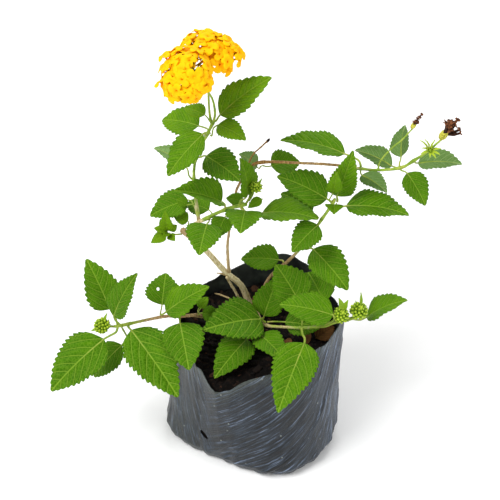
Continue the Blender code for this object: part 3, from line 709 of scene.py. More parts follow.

# %% [markdown]
# ## Stems
#
# Old lantana wood is tan and dry, finely cracked along its length, and young shoots are green and square
# with blunt corners. The imported stems are plain tubes, so a copy is remeshed into even small faces,
# smoothed, swollen at the nodes where leaves sit, and roughened. How woody a stem is changes along it, so
# it is told at a few places and spread over the vertices between them.

# %% Bark and green shoots


def stem_material():
    """Bark that turns into green shoot: dry, matt and cracked in length, then smooth and a little glossy."""
    made, tree, shader = new_material("lantana_bark_and_shoot", 0.7, 0.3)
    place = node(tree, "TexCoord").outputs["Object"]
    drawn_out = node(tree, "Mapping", [("Vector", place), ("Scale", (1, 1, 0.16))])
    cracks = node(tree, "TexNoise", [("Vector", drawn_out), ("Scale", 1500), ("Detail", 3)])
    patches = node(tree, "TexNoise", [("Vector", place), ("Scale", 220), ("Detail", 3)])
    tans = [(0.28, "#a08c58"), (0.45, "#d6c795"), (0.7, "#ece2bd")]
    browns = [(0.3, "#5a3a1a"), (0.5, "#946a34"), (0.7, "#b08a50")]
    greens = [(0.3, "#5e7d1c"), (0.5, "#86a233"), (0.7, "#a8b44a")]
    wood = node(tree, "ValToRGB", [(0, cracks)], stops=tans)
    brown = node(tree, "ValToRGB", [(0, cracks)], stops=browns)
    green = node(tree, "ValToRGB", [(0, patches)], stops=greens)
    browned, young = [
        node(tree, "Attribute", attribute_name=name).outputs["Fac"] for name in ("brown", "young")
    ]
    mottled = node(tree, "Math", [(0, patches), (1, 0.9), (2, young)], operation="MULTIPLY_ADD")
    turned = node(tree, "ValToRGB", [(0, mottled)], stops=[(0.75, 0.0), (1.0, 1.0)])
    bark = node(tree, "Mix", [(0, browned), (FIRST, wood), (SECOND, brown)], data_type="RGBA")
    base = node(tree, "Mix", [(0, turned), (FIRST, bark), (SECOND, green)], data_type="RGBA")
    give(tree, shader, base, cracks, 0.18)
    return made


STEM = stem_material()

# Places on the stems as pixel x and y and depth in mm, with how young and how brown the stem is there
STEM_AGES = {
    "stem_main": [
        (249, 303, 26, 0, 0.1), (226, 272, 21, 0.05, 0), (205, 250, 16, 0.12, 0.15), (182, 230, 10, 0, 0.7),
        (200, 219, 15, 0.25, 0.4), (194, 190, 12, 0.6, 0.2), (197, 156, 9, 0.7, 0.1), (213, 123, 6, 1, 0),
        (209, 63, 13, 1, 0), (207, 218, 12, 0.7, 0), (247, 204, 12, 1, 0),
    ],
    "stem_thin": [(242, 302, 24, 0, 0.2), (226, 277, 17, 0.1, 0.3)],
    "branch_right": [
        (228, 266, 18, 0, 0.6), (235, 196, 27, 0, 0.8), (250, 168, 26, 0, 1), (335, 165, 13, 0.15, 0.9),
        (360, 169, 12, 0.6, 0.3), (400, 168, 12, 1, 0), (442, 139, 11, 1, 0), (393, 147, 12, 0.8, 0.2),
        (252, 156, 26, 0, 1), (269, 139, 26, 0, 1),
    ],
    "stem_right": [
        (258, 300, 27, 0, 0.7), (284, 265, 20, 0, 0.8), (305, 243, 15, 0.5, 0.4), (331, 206, 7, 1, 0),
    ],
    "branch_left": [
        (241, 305, 17, 0.1, 0.7), (212, 318, 3, 0.2, 0.8), (161, 317, -10, 0.15, 0.8),
        (114, 326, -13, 0.7, 0.2),
    ],
    "branch_front": [
        (256, 310, 15, 0.2, 0.6), (283, 327, -6, 0.35, 0.5), (303, 328, -10, 0.6, 0.2),
        (354, 317, -13, 0.8, 0.1),
    ],
}
STEM_VOXEL = 0.34 * MM
# Where a stem runs on into the soil or into the stem that carries it, with its radius in mm
ROOTS = {
    "stem_main": [(248, 301, 26, 2.3), (250.5, 307, 26.5, 2.5)],
    "stem_thin": [(242, 301, 24, 0.9), (244, 306, 24.5, 1.0)],
    "stem_right": [(259, 298, 27, 1.2), (257, 304, 27.5, 1.3)],
    "branch_left": [(244, 308, 20, 1.5), (246, 312, 22, 1.6)],
    "branch_front": [(254, 312, 19, 1.4), (253, 316, 21, 1.5)],
    "branch_right": [(228, 262, 18, 0.95), (228.6, 267, 18.4, 0.95), (229, 272, 20, 1.2)],
}
GREEN_STEMS = ("branch_left", "branch_front")
NODE_SPREAD = 2.6 * MM
NODE_SWELLING = 0.42 * MM
BARK_ROUGHNESS = 0.16 * MM


def nearness(places, marks, spread):
    """How near each place is to the nearest mark, from 0 to 1."""
    away = np.linalg.norm(places[:, None] - np.array(marks)[None], axis=2).min(axis=1)
    return np.exp(-((away / spread) ** 2))


def along_marks(places, marks):
    """Values told at a few marks, spread over places by how near they are."""
    at = np.array([seen(*one[:3]) for one in marks])
    values = np.array([one[3:] for one in marks], float)
    weights = 1 / (np.linalg.norm(places[:, None] - at[None], axis=2) + 2 * MM) ** 3
    return (weights @ values) / weights.sum(axis=1, keepdims=True)


def grown_stem(name):
    """A packed stem with even faces, nodes, bark and colours, joined to what it grows from."""
    parts = [solid_copy(name)]
    if name in ROOTS:
        line, radii = [seen(*one[:3]) for one in ROOTS[name]], [one[3] for one in ROOTS[name]]
        parts.append(stalk(line, radii, sides=8))
    piece = joined(parts, name)
    apply(piece, "REMESH", mode="VOXEL", voxel_size=STEM_VOXEL)
    apply(piece, "SMOOTH", factor=0.5, iterations=3)
    places = points_of(piece.data)
    normals = np.array([vertex.normal for vertex in piece.data.vertices])
    swelling = nearness(places, STALK_FEET, NODE_SPREAD) * NODE_SWELLING
    ages = along_marks(places, STEM_AGES[name])
    rough = [noise.fractal(Vector((x * 900, y * 900, z * 260)), 1.0, 2.0, 3) for x, y, z in places]
    rough = np.array(rough) * BARK_ROUGHNESS * (1 - 0.7 * ages[:, 0])
    move_points(piece.data, places + normals * (swelling + rough + 0.06 * MM)[:, None])
    mark(piece.data, "young", ages[:, 0])
    mark(piece.data, "brown", ages[:, 1])
    piece.data.materials.append(STEM)
    joined([piece], name + "_grown")
    ready(piece, "green_stem" if name in GREEN_STEMS else "bark", name)
    return len(piece.data.polygons)


print("stem faces:", {name: grown_stem(name) for name in STEM_AGES})

# %% [markdown]
# ## The bag
#
# The holder is a nursery bag of thin black polythene, welded flat at the bottom and full of soil, so it
# is not round: the film is pulled into slanting creases, gathered at the foot and left standing in an
# uneven rim. A grid is rolled up on the imported bag's outer wall, which rays find, and creased by rule.
# The film is then given its thickness inwards. Its colour is near black, but the creases catch the light,
# and pale streaks, partly stretch lines and partly painted highlights, lighter on the right, with dust and
# dried splashes make it greyer.

# %% The polythene film


def polythene():
    """Black polythene film: dark slate, softly glossy, with pale streaks that are partly stretch lines and
    partly painted highlights, lighter on the right side, and dust.
    """
    made, tree, shader = new_material("polythene_film_black", 0.42, 0.35)
    place = node(tree, "TexCoord").outputs["Object"]
    film = node(tree, "UVMap", uv_map="film")
    lines = []
    for slant, length in ((36, 0.05), (60, 0.06), (105, 0.05)):
        turned = node(tree, "Mapping", [("Vector", film), ("Rotation", (0, 0, -math.radians(slant)))])
        drawn_out = node(tree, "Mapping", [("Vector", turned), ("Scale", (length, 1, 1))])
        streaks = [("Vector", drawn_out), ("Scale", 0.8), ("Detail", 5), ("Roughness", 0.7)]
        lines.append(node(tree, "TexNoise", streaks))
    names = ("right_side", "left_side", "dust")
    right_side, left_side, dust_at = [
        node(tree, "Attribute", attribute_name=name).outputs["Fac"] for name in names
    ]
    front = node(tree, "Mix", [(0, right_side), (FIRST, lines[0]), (SECOND, lines[1])], data_type="RGBA")
    stretch_and_sheen = node(tree, "Mix", [(0, left_side), (FIRST, front), (SECOND, lines[2])], data_type="RGBA")
    # Painted highlights: the streaks run up to the pale blue top of the ramp below, standing in for light
    # caught along the film's stretch lines, and the right side is made a little lighter, as if more light
    # falls there
    sheen_right_lighter = node(tree, "Math", [(0, right_side), (1, 0.05), (2, stretch_and_sheen)], operation="MULTIPLY_ADD")
    slate = [(0.4, "#070a0d"), (0.5, "#151b22"), (0.58, "#323d4a"), (0.68, "#8492ab")]
    film_colour = node(tree, "ValToRGB", [(0, sheen_right_lighter)], stops=slate)
    speckle = node(tree, "TexNoise", [("Vector", place), ("Scale", 900), ("Detail", 4), ("Roughness", 0.7)])
    dusty = node(tree, "Math", [(0, speckle), (1, dust_at)], operation="MULTIPLY")
    dust = node(tree, "ValToRGB", [(0, dusty)], stops=[(0.25, 0.0), (0.8, 0.6)])
    dusted = node(tree, "Mix", [(0, dust), (FIRST, film_colour), (SECOND, "#5d655c")], data_type="RGBA")
    specks = node(tree, "TexVoronoi", [("Vector", place), ("Scale", 130)])
    speck = node(tree, "ValToRGB", [(0, specks)], stops=[(0.03, 1.0), (0.08, 0.0)])
    base = node(tree, "Mix", [(0, speck), (FIRST, dusted), (SECOND, "#8f958f")], data_type="RGBA")
    gloss = node(tree, "ValToRGB", [(0, stretch_and_sheen)], stops=[(0.35, 0.3), (0.7, 0.55)])
    tree.links.new(gloss.outputs[0], shader.inputs["Roughness"])
    give(tree, shader, base, stretch_and_sheen, 0.6)
    return made


FILM_OUTSIDE = polythene()
# The film's inside is the same black, matt with dried soil
FILM_INSIDE = speckled(
    "polythene_film_inside", 0.6, 0.4, {"Scale": 140, "Detail": 5},
    [(0.35, "#1c1f1e"), (0.55, "#2f3431"), (0.75, "#4a5048")], 0.5,
)
print("film materials:", FILM_OUTSIDE.name, FILM_INSIDE.name)

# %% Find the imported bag's wall
BAG = NODES["bag"]
BAG_AROUND = 240
BAG_ROWS = 76
FOOT_SHARES = (0.0, 0.25, 0.5, 0.75, 0.92)  # rings of the flat bottom, as shares of the foot's radius
FILM_THICKNESS = 0.3 * MM
OUTSIDE = 200 * MM  # where rays start, well clear of the bag
RIM_SIDES = 40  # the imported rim's points


def rim_heights():
    """The height of the bag's rim at each even azimuth."""
    found = {}
    for x, y, z in points_of(BAG.data):
        side = round(math.atan2(y, x) / math.tau * RIM_SIDES) % RIM_SIDES
        found[side] = max(found.get(side, 0), z)
    sides = range(-1, RIM_SIDES + 2)
    degrees = [side * 360 / RIM_SIDES for side in sides]
    heights = [found[side % RIM_SIDES] for side in sides]
    return lambda angle: smooth_table(degrees, heights, np.degrees(angle) % 360)


def wall_radius(angle, height):
    """The radius of the bag's outer wall at an azimuth and a height."""
    way = Vector((math.cos(angle), math.sin(angle), 0))
    hit, place, _, _ = BAG.ray_cast(way * OUTSIDE + Vector((0, 0, height)), -way)
    return Vector((place.x, place.y)).length if hit else 0


AROUND = np.linspace(0, math.tau, BAG_AROUND + 1)
UPWARD = np.linspace(0, 1, BAG_ROWS + 1)
RIM_AT = rim_heights()(AROUND)
HEIGHTS = UPWARD[:, None] * RIM_AT[None]
WALL_HEIGHTS = np.clip(HEIGHTS, 0.4 * MM, RIM_AT - 0.3 * MM)  # rays stay off the wall's edges
RADII = np.array([[wall_radius(a, z) for a, z in zip(AROUND, row)] for row in WALL_HEIGHTS])
print("wall radius:", round(RADII.min() * 1000, 1), "to", round(RADII.max() * 1000, 1), "mm")

# %% Crease the film
GIRTH = 50 * MM  # the wall's mean radius, which turns an azimuth into a length
CREASES = 120
LEFT = math.radians(205)  # where dust shows most
WALL = 82 * MM  # the wall's usual height
# Slope of the creases in degrees, by azimuth: up to the right in front, steeper at both sides
SLOPES_AT = (0, 120, 190, 225, 255, 300, 335, 360)
SLOPES = (66, 100, 112, 100, 42, 36, 58, 66)


def creases(chance):
    """The film's height out of its plain wall at each grid point."""
    across, up = np.meshgrid(AROUND * GIRTH, UPWARD * WALL)
    height = np.zeros_like(across)
    for _ in range(CREASES):
        angle = chance.uniform(0, math.tau)
        start_up = chance.uniform(0, 80) * MM
        slope = math.radians(np.interp(math.degrees(angle), SLOPES_AT, SLOPES)) + chance.gauss(0, 0.2)
        length, width = chance.uniform(12, 34) * MM, chance.uniform(0.9, 2.6) * MM
        deep = chance.choice((1, 1, -1)) * chance.uniform(0.25, 0.8) * MM * (width / (2 * MM)) ** 0.5
        away = (across - angle * GIRTH + math.pi * GIRTH) % (math.tau * GIRTH) - math.pi * GIRTH
        onward = away * math.cos(slope) + (up - start_up) * math.sin(slope)
        aside = -away * math.sin(slope) + (up - start_up) * math.cos(slope)
        aside = aside + (onward**2) * chance.uniform(-4, 4)
        height += deep * np.exp(-((aside / width) ** 2)) * np.exp(-((onward / length) ** 4))
    gathers = np.sin(AROUND * 21 + 1.2 * np.sin(AROUND * 3)) * 0.6 * MM + np.sin(AROUND * 37) * 0.3 * MM
    height += gathers[None] * np.exp(-up / (9 * MM))
    rim_wave = (np.sin(AROUND * 11 + 0.6) * 0.5 + np.sin(AROUND * 23) * 0.35) * MM
    height += rim_wave[None] * np.exp(-(RIM_AT[None] - up * RIM_AT[None] / WALL) / (5 * MM))
    return height


chance = random.Random(11)
OUT = np.clip(creases(chance), -1.1 * MM, 1.6 * MM)
FILM_RADII = RADII + OUT - 0.2 * MM
rough_rim = [noise.fractal(Vector((math.cos(a), math.sin(a), 0)) * 4, 1.0, 2.0, 4) for a in AROUND]
FILM_HEIGHTS = HEIGHTS + (UPWARD[:, None] ** 12) * np.array(rough_rim)[None] * 1.2 * MM
print("creases:", round(OUT.min() * 1000, 2), "to", round(OUT.max() * 1000, 2), "mm")

# %% Roll up the film
HOLE_AT = (204, 434.5)  # pixel of a drain hole low on the front left
HOLE_SIZE = (1.7 * MM, 3.6 * MM)
HOLE_SLANT = math.radians(40)


def film_tube():
    """The rolled-up film: rows of the flat bottom, then the wall's rows up to the rim."""
    rows = len(FOOT_SHARES) + BAG_ROWS
    made = primitive(bpy.ops.mesh.primitive_grid_add, x_subdivisions=BAG_AROUND, y_subdivisions=rows, size=1)
    grid = points_of(made.data)
    column = np.round((grid[:, 0] + 0.5) * BAG_AROUND).astype(int)
    row = np.round((grid[:, 1] + 0.5) * rows).astype(int)
    wall = np.clip(row - len(FOOT_SHARES), 0, BAG_ROWS)
    foot = np.append(FOOT_SHARES, 1.0)[np.clip(row, 0, len(FOOT_SHARES))]
    radius = FILM_RADII[wall, column] * foot
    angle = AROUND[column]
    height = np.where(row < len(FOOT_SHARES), 0.0, np.maximum(FILM_HEIGHTS[wall, column], 0))
    move_points(made.data, np.stack([radius * np.cos(angle), radius * np.sin(angle), height], axis=1))
    made.data.uv_layers.remove(made.data.uv_layers[0])
    set_map(made.data, "film", angle * GIRTH / MM, height / MM)
    near_rim = np.exp(-(RIM_AT[column] - height) / (7 * MM)) * 0.8
    near_foot = np.exp(-height / (4 * MM)) * 0.5
    greyer = 0.35 + 0.35 * np.exp(-(((angle - LEFT) / 0.5) ** 2)) + near_rim + near_foot
    mark(made.data, "dust", greyer)
    turn = np.degrees(angle)
    # right_side picks the streaks' slant, and also makes that side a little lighter as a painted highlight
    mark(made.data, "right_side", np.interp(turn, (0, 60, 120, 300, 335, 360), (1, 1, 0, 0, 1, 1)))
    mark(made.data, "left_side", np.interp(turn, (0, 80, 130, 225, 245, 360), (0, 0, 1, 1, 0, 0)))
    merge(made, GRID_WELD)
    return made


bag = film_tube()
print("hole cut:", open_hole(bag, HOLE_AT, HOLE_SIZE, HOLE_SLANT))
bag.data.materials.append(FILM_OUTSIDE)
bag.data.materials.append(FILM_INSIDE)
apply(bag, "SOLIDIFY", thickness=FILM_THICKNESS, offset=-1, material_offset=1, use_rim=True)
joined([bag], "bag_film")
ready(bag, "polythene", "bag")
print("bag faces:", len(bag.data.polygons))

# %% [markdown]
# ## Soil
#
# The bag holds a dark potting mix of peat and bark. Its surface is clods of all sizes with chips, twigs
# and a dry leaf or two lying on it. The packed soil is a smooth plug, so a copy is remeshed and its top
# is broken up by noise, and bits modelled once are scattered on it. A bit is only a few faces, because
# hundreds of them are needed.

# %% The potting mix
# Moist peat: nearly black, rough and matt, with a few lighter fibres
SOIL = speckled(
    "potting_mix_peat", 0.95, 0.15, {"Scale": 420, "Detail": 6, "Roughness": 0.7},
    [(0.38, "#060403"), (0.54, "#100b08"), (0.64, "#241811"), (0.74, "#523c29")], 0.9,
)
# Bark chips and fibres: each bit has its own shade, from black-brown to dry tan
CHIP = speckled(
    "bark_chips_dry", 0.9, 0.2, {"Scale": 1300, "Detail": 3},
    [(0.1, "#080503"), (0.5, "#1a100a"), (0.8, "#4a3020"), (1.0, "#94724a")], 0.2, read="shade", share=0.3,
)
SOIL_TOP = 60 * MM  # below this the soil is inside the bag
SOIL_VOXEL = 1.1 * MM
CLOD = 1.7 * MM

soil = solid_copy("soil")
apply(soil, "REMESH", mode="VOXEL", voxel_size=SOIL_VOXEL)
places = points_of(soil.data)
spots = [Vector(place) for place in places]
lumps = [noise.fractal(spot * 170, 0.8, 2.1, 5) + 0.6 * noise.noise(spot * 420) for spot in spots]
on_top = np.clip((places[:, 2] - SOIL_TOP) / (6 * MM), 0, 1)
move_points(soil.data, places + np.outer(np.array(lumps) * CLOD * on_top, (0, 0, 1)))
soil.data.materials.append(SOIL)
joined([soil], "potting_mix")
ready(soil, "soil", "soil")
print("soil faces:", len(soil.data.polygons))

# %% Chips and fibres on the soil
CHIP_COUNT = 420
CHIP_REACH = 46 * MM


def rough_bit(chance):
    """A lump of few faces: a cube cut once in each direction, its corners pushed about."""
    made = primitive(bpy.ops.mesh.primitive_cube_add, size=1)
    bpy.ops.object.mode_set(mode="EDIT")
    bpy.ops.mesh.subdivide(number_cuts=1, smoothness=0.6)
    bpy.ops.object.mode_set(mode="OBJECT")
    for vertex in made.data.vertices:
        vertex.co *= chance.uniform(0.75, 1.2)
    return mesh_of(made)


def on_soil(x, y):
    """The place on the soil's surface under a point."""
    hit, place, _, _ = soil.ray_cast(Vector((x, y, OUTSIDE)), Vector((0, 0, -1)))
    return place if hit and place.z > SOIL_TOP else None


chance = random.Random(23)
BITS = [rough_bit(chance) for _ in range(4)]
chips = []
while len(chips) < CHIP_COUNT:
    angle, reach = chance.uniform(0, math.tau), CHIP_REACH * math.sqrt(chance.random())
    place = on_soil(reach * math.cos(angle), reach * math.sin(angle))
    if place is None:
        continue
    length = chance.choice((1.2, 1.6, 2.2, 3.6)) * chance.uniform(0.7, 1.4) * MM
    width, height = length * chance.uniform(0.3, 0.8), length * chance.uniform(0.15, 0.45)
    turn = Matrix.Rotation(chance.uniform(0, math.tau), 4, "Z")
    tilt = Matrix.Rotation(chance.gauss(0, 0.4), 4, "X")
    shape = Matrix.Translation(place) @ turn @ tilt @ Matrix.Diagonal((length, width, height, 1))
    shade = chance.choice((0.0, 0.1, 0.25, 0.4, 0.6))
    chips.append(stamped(chance.choice(BITS), shape, shade=shade))
bits = joined(chips, "bark_chips")
bits.data.materials.append(CHIP)
ready(bits, "soil")
print("chip faces:", len(bits.data.polygons))

# %% [markdown]
# ## Small leaves
#
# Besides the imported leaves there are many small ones: a tuft at the old cut stub, and some beside the
# stems. They use the small flat blade. Each is told by the pixels where its base and tip show, their
# depths, its width in mm, its tone, and where its stalk starts on a stem.

# %% Small leaves
LOOK = Vector((0, -0.45, 0.85))  # the way small leaves face
FOLDED = 0.22  # rise of a small leaf's edges, as a share of its half width
ARCHED = 0.1


def small_plan(base, tip, width, look=LOOK, stem=None):
    """The plan of a small leaf between two points, as for a packed one."""
    base, tip = Vector(base), Vector(tip)
    along = tip - base
    length = along.length
    along.normalize()
    up = (look - along * look.dot(along)).normalized()
    across = along.cross(up)
    table = []
    for t, share in zip(STATIONS, SHARES):
        spine = base + along * (length * t) + up * (ARCHED * length * 4 * t * (1 - t))
        half = width * MM / 2 * share
        table.append([spine + across * (half * k) + up * (abs(half * k) * FOLDED) for k in COLUMNS])
    line = [Vector(stem), base] if stem else [base - along * (0.04 * length), base]
    return {"table": np.array(table, float), "line": line, "length": length, "up": up}


def resurfaced(parts, surface, reach):
    """Gives parts another material in all their slots, and a reach for it to read."""
    for part in parts:
        for k in range(len(part.data.materials)):
            part.data.materials[k] = surface
        mark(part.data, "reach", reach)
    return parts


def small_leaves(rows, chance):
    """Small leaves, from rows of base, tip, width, tone and perhaps stalk end, as pixels and depths."""
    parts = []
    for base, tip, width, tone, *stem in rows:
        plan = small_plan(seen(*base), seen(*tip), width, stem=seen(*stem[0]) if stem else None)
        parts += grown_leaf(plan, SMALL_BLADE, tone, chance)
    return parts


ROSETTE = [
    ((167, 231, 9), (165, 211, 6), 8, 0.6),
    ((166, 235, 8), (151, 243, 4), 7, 0.6),
    ((169, 235, 8), (175, 241, 4), 5, 0.65),
    ((165, 231, 9), (154, 228, 10), 5, 0.65),
    ((170, 231, 10), (177, 225, 13), 5, 0.65),
    ((165, 233, 10), (160, 219, 14), 5, 0.55),
    ((169, 233, 9), (163, 238, 2), 4, 0.75),
]
ROSETTE_TWIG = [(182, 234, 11), (176, 234.5, 10), (167, 233.5, 9)]
STRAY_LEAVES = [
    ((187, 205, 14), (176, 199, 16), 6, 0.4, (195, 204, 13)),
    ((262, 199, 11), (248, 208, 8), 6, 0.5, (249, 203, 12)),
    ((201, 308, 3), (207, 301, 6), 5, 0.4, (197, 314, -3)),
    ((184, 309, -2), (178, 300, 2), 6, 0.35, (181, 315, -8)),
]
chance = random.Random(31)
parts = small_leaves(ROSETTE, chance)
parts.append(stalk([seen(*one) for one in ROSETTE_TWIG], (0.5, 0.45, 0.4), STALK))
ready(joined(parts, "rosette_leaves"), "leaf", "rosette_stub")
ready(joined(small_leaves(STRAY_LEAVES, chance), "small_side_leaves"), "leaf")
print("small leaves:", len(ROSETTE) + len(STRAY_LEAVES))

# %% [markdown]
# ## Litter
#
# A few dry leaves and a twig lie on the soil, and a broken stub sticks out of the main stem's foot. A
# thing on the soil is told by pixels alone, and rays from the eye find the soil under them.

# %% Dry leaves and twigs on the soil
# A dry leaf is papery: dull brown, with a dark midrib
DRY_LEAF = leaf_material(
    "dry_leaf_papery", 0.85, ("#3a2412", "#6f4c2a", "#a08055"), "#4e3620", 0.5, sunk=False
)
# Pixels of base and tip, and width in mm
DRY_LEAVES = [
    ((316, 339), (334, 328), 12),
    ((285, 353), (290, 340), 6),
    ((254, 311), (259, 294), 6),
    ((269, 280), (275, 273), 4),
    ((307, 345), (309, 333), 4),
]
FALLEN_TWIG = [(211, 289), (219.5, 295.5), (228.5, 299), (235.5, 304)]
BROKEN_STUB = [(227, 275.5, 20), (221, 273.5, 19), (216.5, 273, 18)]
SOIL_MIDDLE = (250, 345)
STEP_INWARDS = 0.1


def lying(px, py, lift):
    """The soil's point at a pixel, or at the first one with soil on the way to its middle, raised by mm."""
    hit = False
    while not hit:
        hit, place, _, _ = soil.ray_cast(EYE, (seen(px, py, 0) - EYE).normalized())
        px += STEP_INWARDS * (SOIL_MIDDLE[0] - px)
        py += STEP_INWARDS * (SOIL_MIDDLE[1] - py)
    return place + Vector((0, 0, lift * MM))


litter = []
for base, tip, width in DRY_LEAVES:
    plan = small_plan(lying(*base, 0.8), lying(*tip, 1.6), width)
    litter += resurfaced(grown_leaf(plan, SMALL_BLADE, 0.3, chance), DRY_LEAF, 0)
for line, radii in (
    ([lying(*pixel, 0.9) for pixel in FALLEN_TWIG], (0.45, 0.6, 0.6, 0.5)),
    ([seen(*one) for one in BROKEN_STUB], (0.75, 0.5, 0.3)),
):
    litter.append(stalk(line, radii, STEM))
    mark(litter[-1].data, "brown", 0.6)
ready(joined(litter, "fallen_leaves_and_twigs"), "soil")
print("dry leaves:", len(DRY_LEAVES))

# %% [markdown]
# ## Flower heads
#
# A lantana head is a dome of three to four dozen small florets. Each has a slender tube that opens flat
# into four or five rounded lobes of unequal size, deep yellow, and more orange at the throat. Five florets
# are modelled, from a circle that is extruded inwards to the throat and down the tube, and copied over the
# dome with a little disorder. Between the two domes there is a gap, where tubes and green buds show, and
# a few florets stand out at the edges, at pixels that are told for them.

# %% Floret materials
# Soft petal: matt, warm deep yellow that turns orange at the throat and greenish on the tube
PETAL = speckled(
    "lantana_petal_soft", 0.7, 0.1, {"Scale": 900, "Detail": 2},
    [(0.05, "#8f9a1e"), (0.2, "#f09600"), (0.32, "#fba600"), (0.55, "#ffb600"), (0.95, "#ffc400")],
    0.12, read="reach", share=0.2,
)
# Closed buds: downy yellow-green, with painted shade: darker green low on each bud, where the buds meet
BUD = speckled(
    "lantana_bud_downy", 0.6, 0.3, {"Scale": 500, "Detail": 2},
    [(0.15, "#355c00"), (0.5, "#739808"), (1.0, "#b5c934")], 0.1, read="reach", share=0.3,
)
# Dried florets: papery dark brown, paler at their torn ends
SPENT = speckled(
    "lantana_floret_dried", 0.85, 0.2, {"Scale": 700, "Detail": 4},
    [(0.3, "#1d0f08"), (0.8, "#4a2a18"), (1.0, "#7a4a2c")], 0.3, read="reach", share=0.6,
)
# What is left of a head: a yellow-green cone with a dark scar wherever a floret fell
SCARRED = speckled(
    "lantana_receptacle_scarred", 0.6, 0.2, {"Scale": 800, "Randomness": 0.5},
    [(0.15, "#2e2a08"), (0.3, "#a8a030"), (0.6, "#c3bf48")], 0.3, kind="TexVoronoi",
)
print("flower materials:", PETAL.name, BUD.name, SPENT.name)

# %% Model the floret
FLORET_RADIUS = 4.9 * MM
FLORET_SIDES = 24
PETAL_THICKNESS = 0.28 * MM
# Radius share and depth in mm of each ring, from the lobes' edge to the throat and down the tube
FLORET_RINGS = [(1.0, 0.25), (0.82, -0.1), (0.6, -0.2), (0.36, 0.0), (0.2, 0.2), (0.11, 0.55), (0.05, 6.5)]


def floret_plan(lobes, chance):
    """A floret that faces up, with its lobes' edge at the origin's height and its tube below."""
    made = primitive(bpy.ops.mesh.primitive_circle_add, vertices=FLORET_SIDES, radius=FLORET_RADIUS)
    bpy.ops.object.mode_set(mode="EDIT")
    for (share, _), (narrower, _) in zip(FLORET_RINGS, FLORET_RINGS[1:]):
        bpy.ops.mesh.extrude_region_move()
        bpy.ops.transform.resize(value=(narrower / share,) * 3)
    bpy.ops.object.mode_set(mode="OBJECT")
    places = points_of(made.data)
    radius, angle = np.hypot(places[:, 0], places[:, 1]), np.arctan2(places[:, 1], places[:, 0])
    share = radius / FLORET_RADIUS
    shares, depths = zip(*FLORET_RINGS[::-1])
    sizes = [chance.uniform(0.84, 1.06) for _ in range(lobes)]
    turn = (angle / math.tau * lobes) % lobes
    size = np.array(sizes)[turn.astype(int) % lobes]
    notch = np.abs(np.sin(np.pi * (turn % 1))) ** 0.45
    outer = np.clip((share - 0.3) / 0.7, 0, 1)
    factor = 1 - outer * (1 - size * (0.52 + 0.48 * notch))
    ripple = np.sin(turn * math.tau + chance.uniform(0, 3)) * 0.45 * MM * outer
    curl = -0.5 * MM * outer**2 * notch * chance.uniform(0.2, 1.4)
    height = -np.interp(share, shares, depths) * MM + ripple + curl
    move_points(made.data, np.stack([places[:, 0] * factor, places[:, 1] * factor, height], axis=1))
    mark(made.data, "reach", np.interp(share, (0.05, 0.11, 0.2, 0.4, 1), (0, 0.2, 0.32, 0.5, 0.85)))
    apply(made, "SOLIDIFY", thickness=PETAL_THICKNESS, offset=0)
    made.data.materials.append(PETAL)
    return mesh_of(made)


def bud_plan(slender):
    """An unopened floret: a drop with four blunt corners on a short neck."""
    plan = mesh_of(primitive(bpy.ops.mesh.primitive_uv_sphere_add, segments=8, ring_count=5, radius=1))
    places = points_of(plan)
    pinch = 1 - 0.35 * np.clip(places[:, 2], 0, 1) ** 2
    move_points(plan, places * np.stack([pinch, pinch, np.full(len(places), slender)], axis=1))
    # For the bud material this reach is painted shade: darker low on the drop, where buds shade one another,
    # and lighter towards its tip
    mark(plan, "reach", np.interp(places[:, 2], (-1, 0.2, 1), (0.0, 0.15, 0.85)))
    return plan


chance = random.Random(41)
FLORETS = [floret_plan(lobes, chance) for lobes in (4, 4, 5, 4, 5)]
DROP = bud_plan(1.5)
SLIM_DROP = bud_plan(2.6)
print("floret faces:", len(FLORETS[0].polygons))

# %% Set the florets on their domes
HEADS = {
    "flower_head_upper": {
        "end": ((208.5, 95, 11), (209, 63, 13)), "axis": (0.1, 0, 1), "radius": 15.2, "flat": 0.78,
        "strays": [(240, 52, 12), (236, 47, 14), (228, 69, 8)],
    },
    "flower_head_lower": {
        "end": ((203, 87, -3), (192, 80, -7)), "axis": (-0.2, -0.5, 0.8), "radius": 13.0, "flat": 0.82,
        "strays": [(164, 55, -2), (171, 52, 1), (180, 47, 3), (163, 66, -5), (164, 79, -9), (196, 99, -14)],
    },
}
INTO_GAP = (seen(198, 65, 0) - EYE).normalized()  # between the two domes, where tubes and a green middle show
GAP_REACH = 3.6 * MM
HEAD_SEAT = 3.7 * MM  # from the end of the flower stalk to the middle of the receptacle
FLORET_ROWS = ((9, 3), (27, 7), (49, 12), (73, 15))  # tilt from the head's axis in degrees, and how many
INNER_BUDS = 34


def leaning(lean, spin):
    """The way that leans so far from upright, turned so far round."""
    return Vector((math.sin(lean) * math.cos(spin), math.sin(lean) * math.sin(spin), math.cos(lean)))


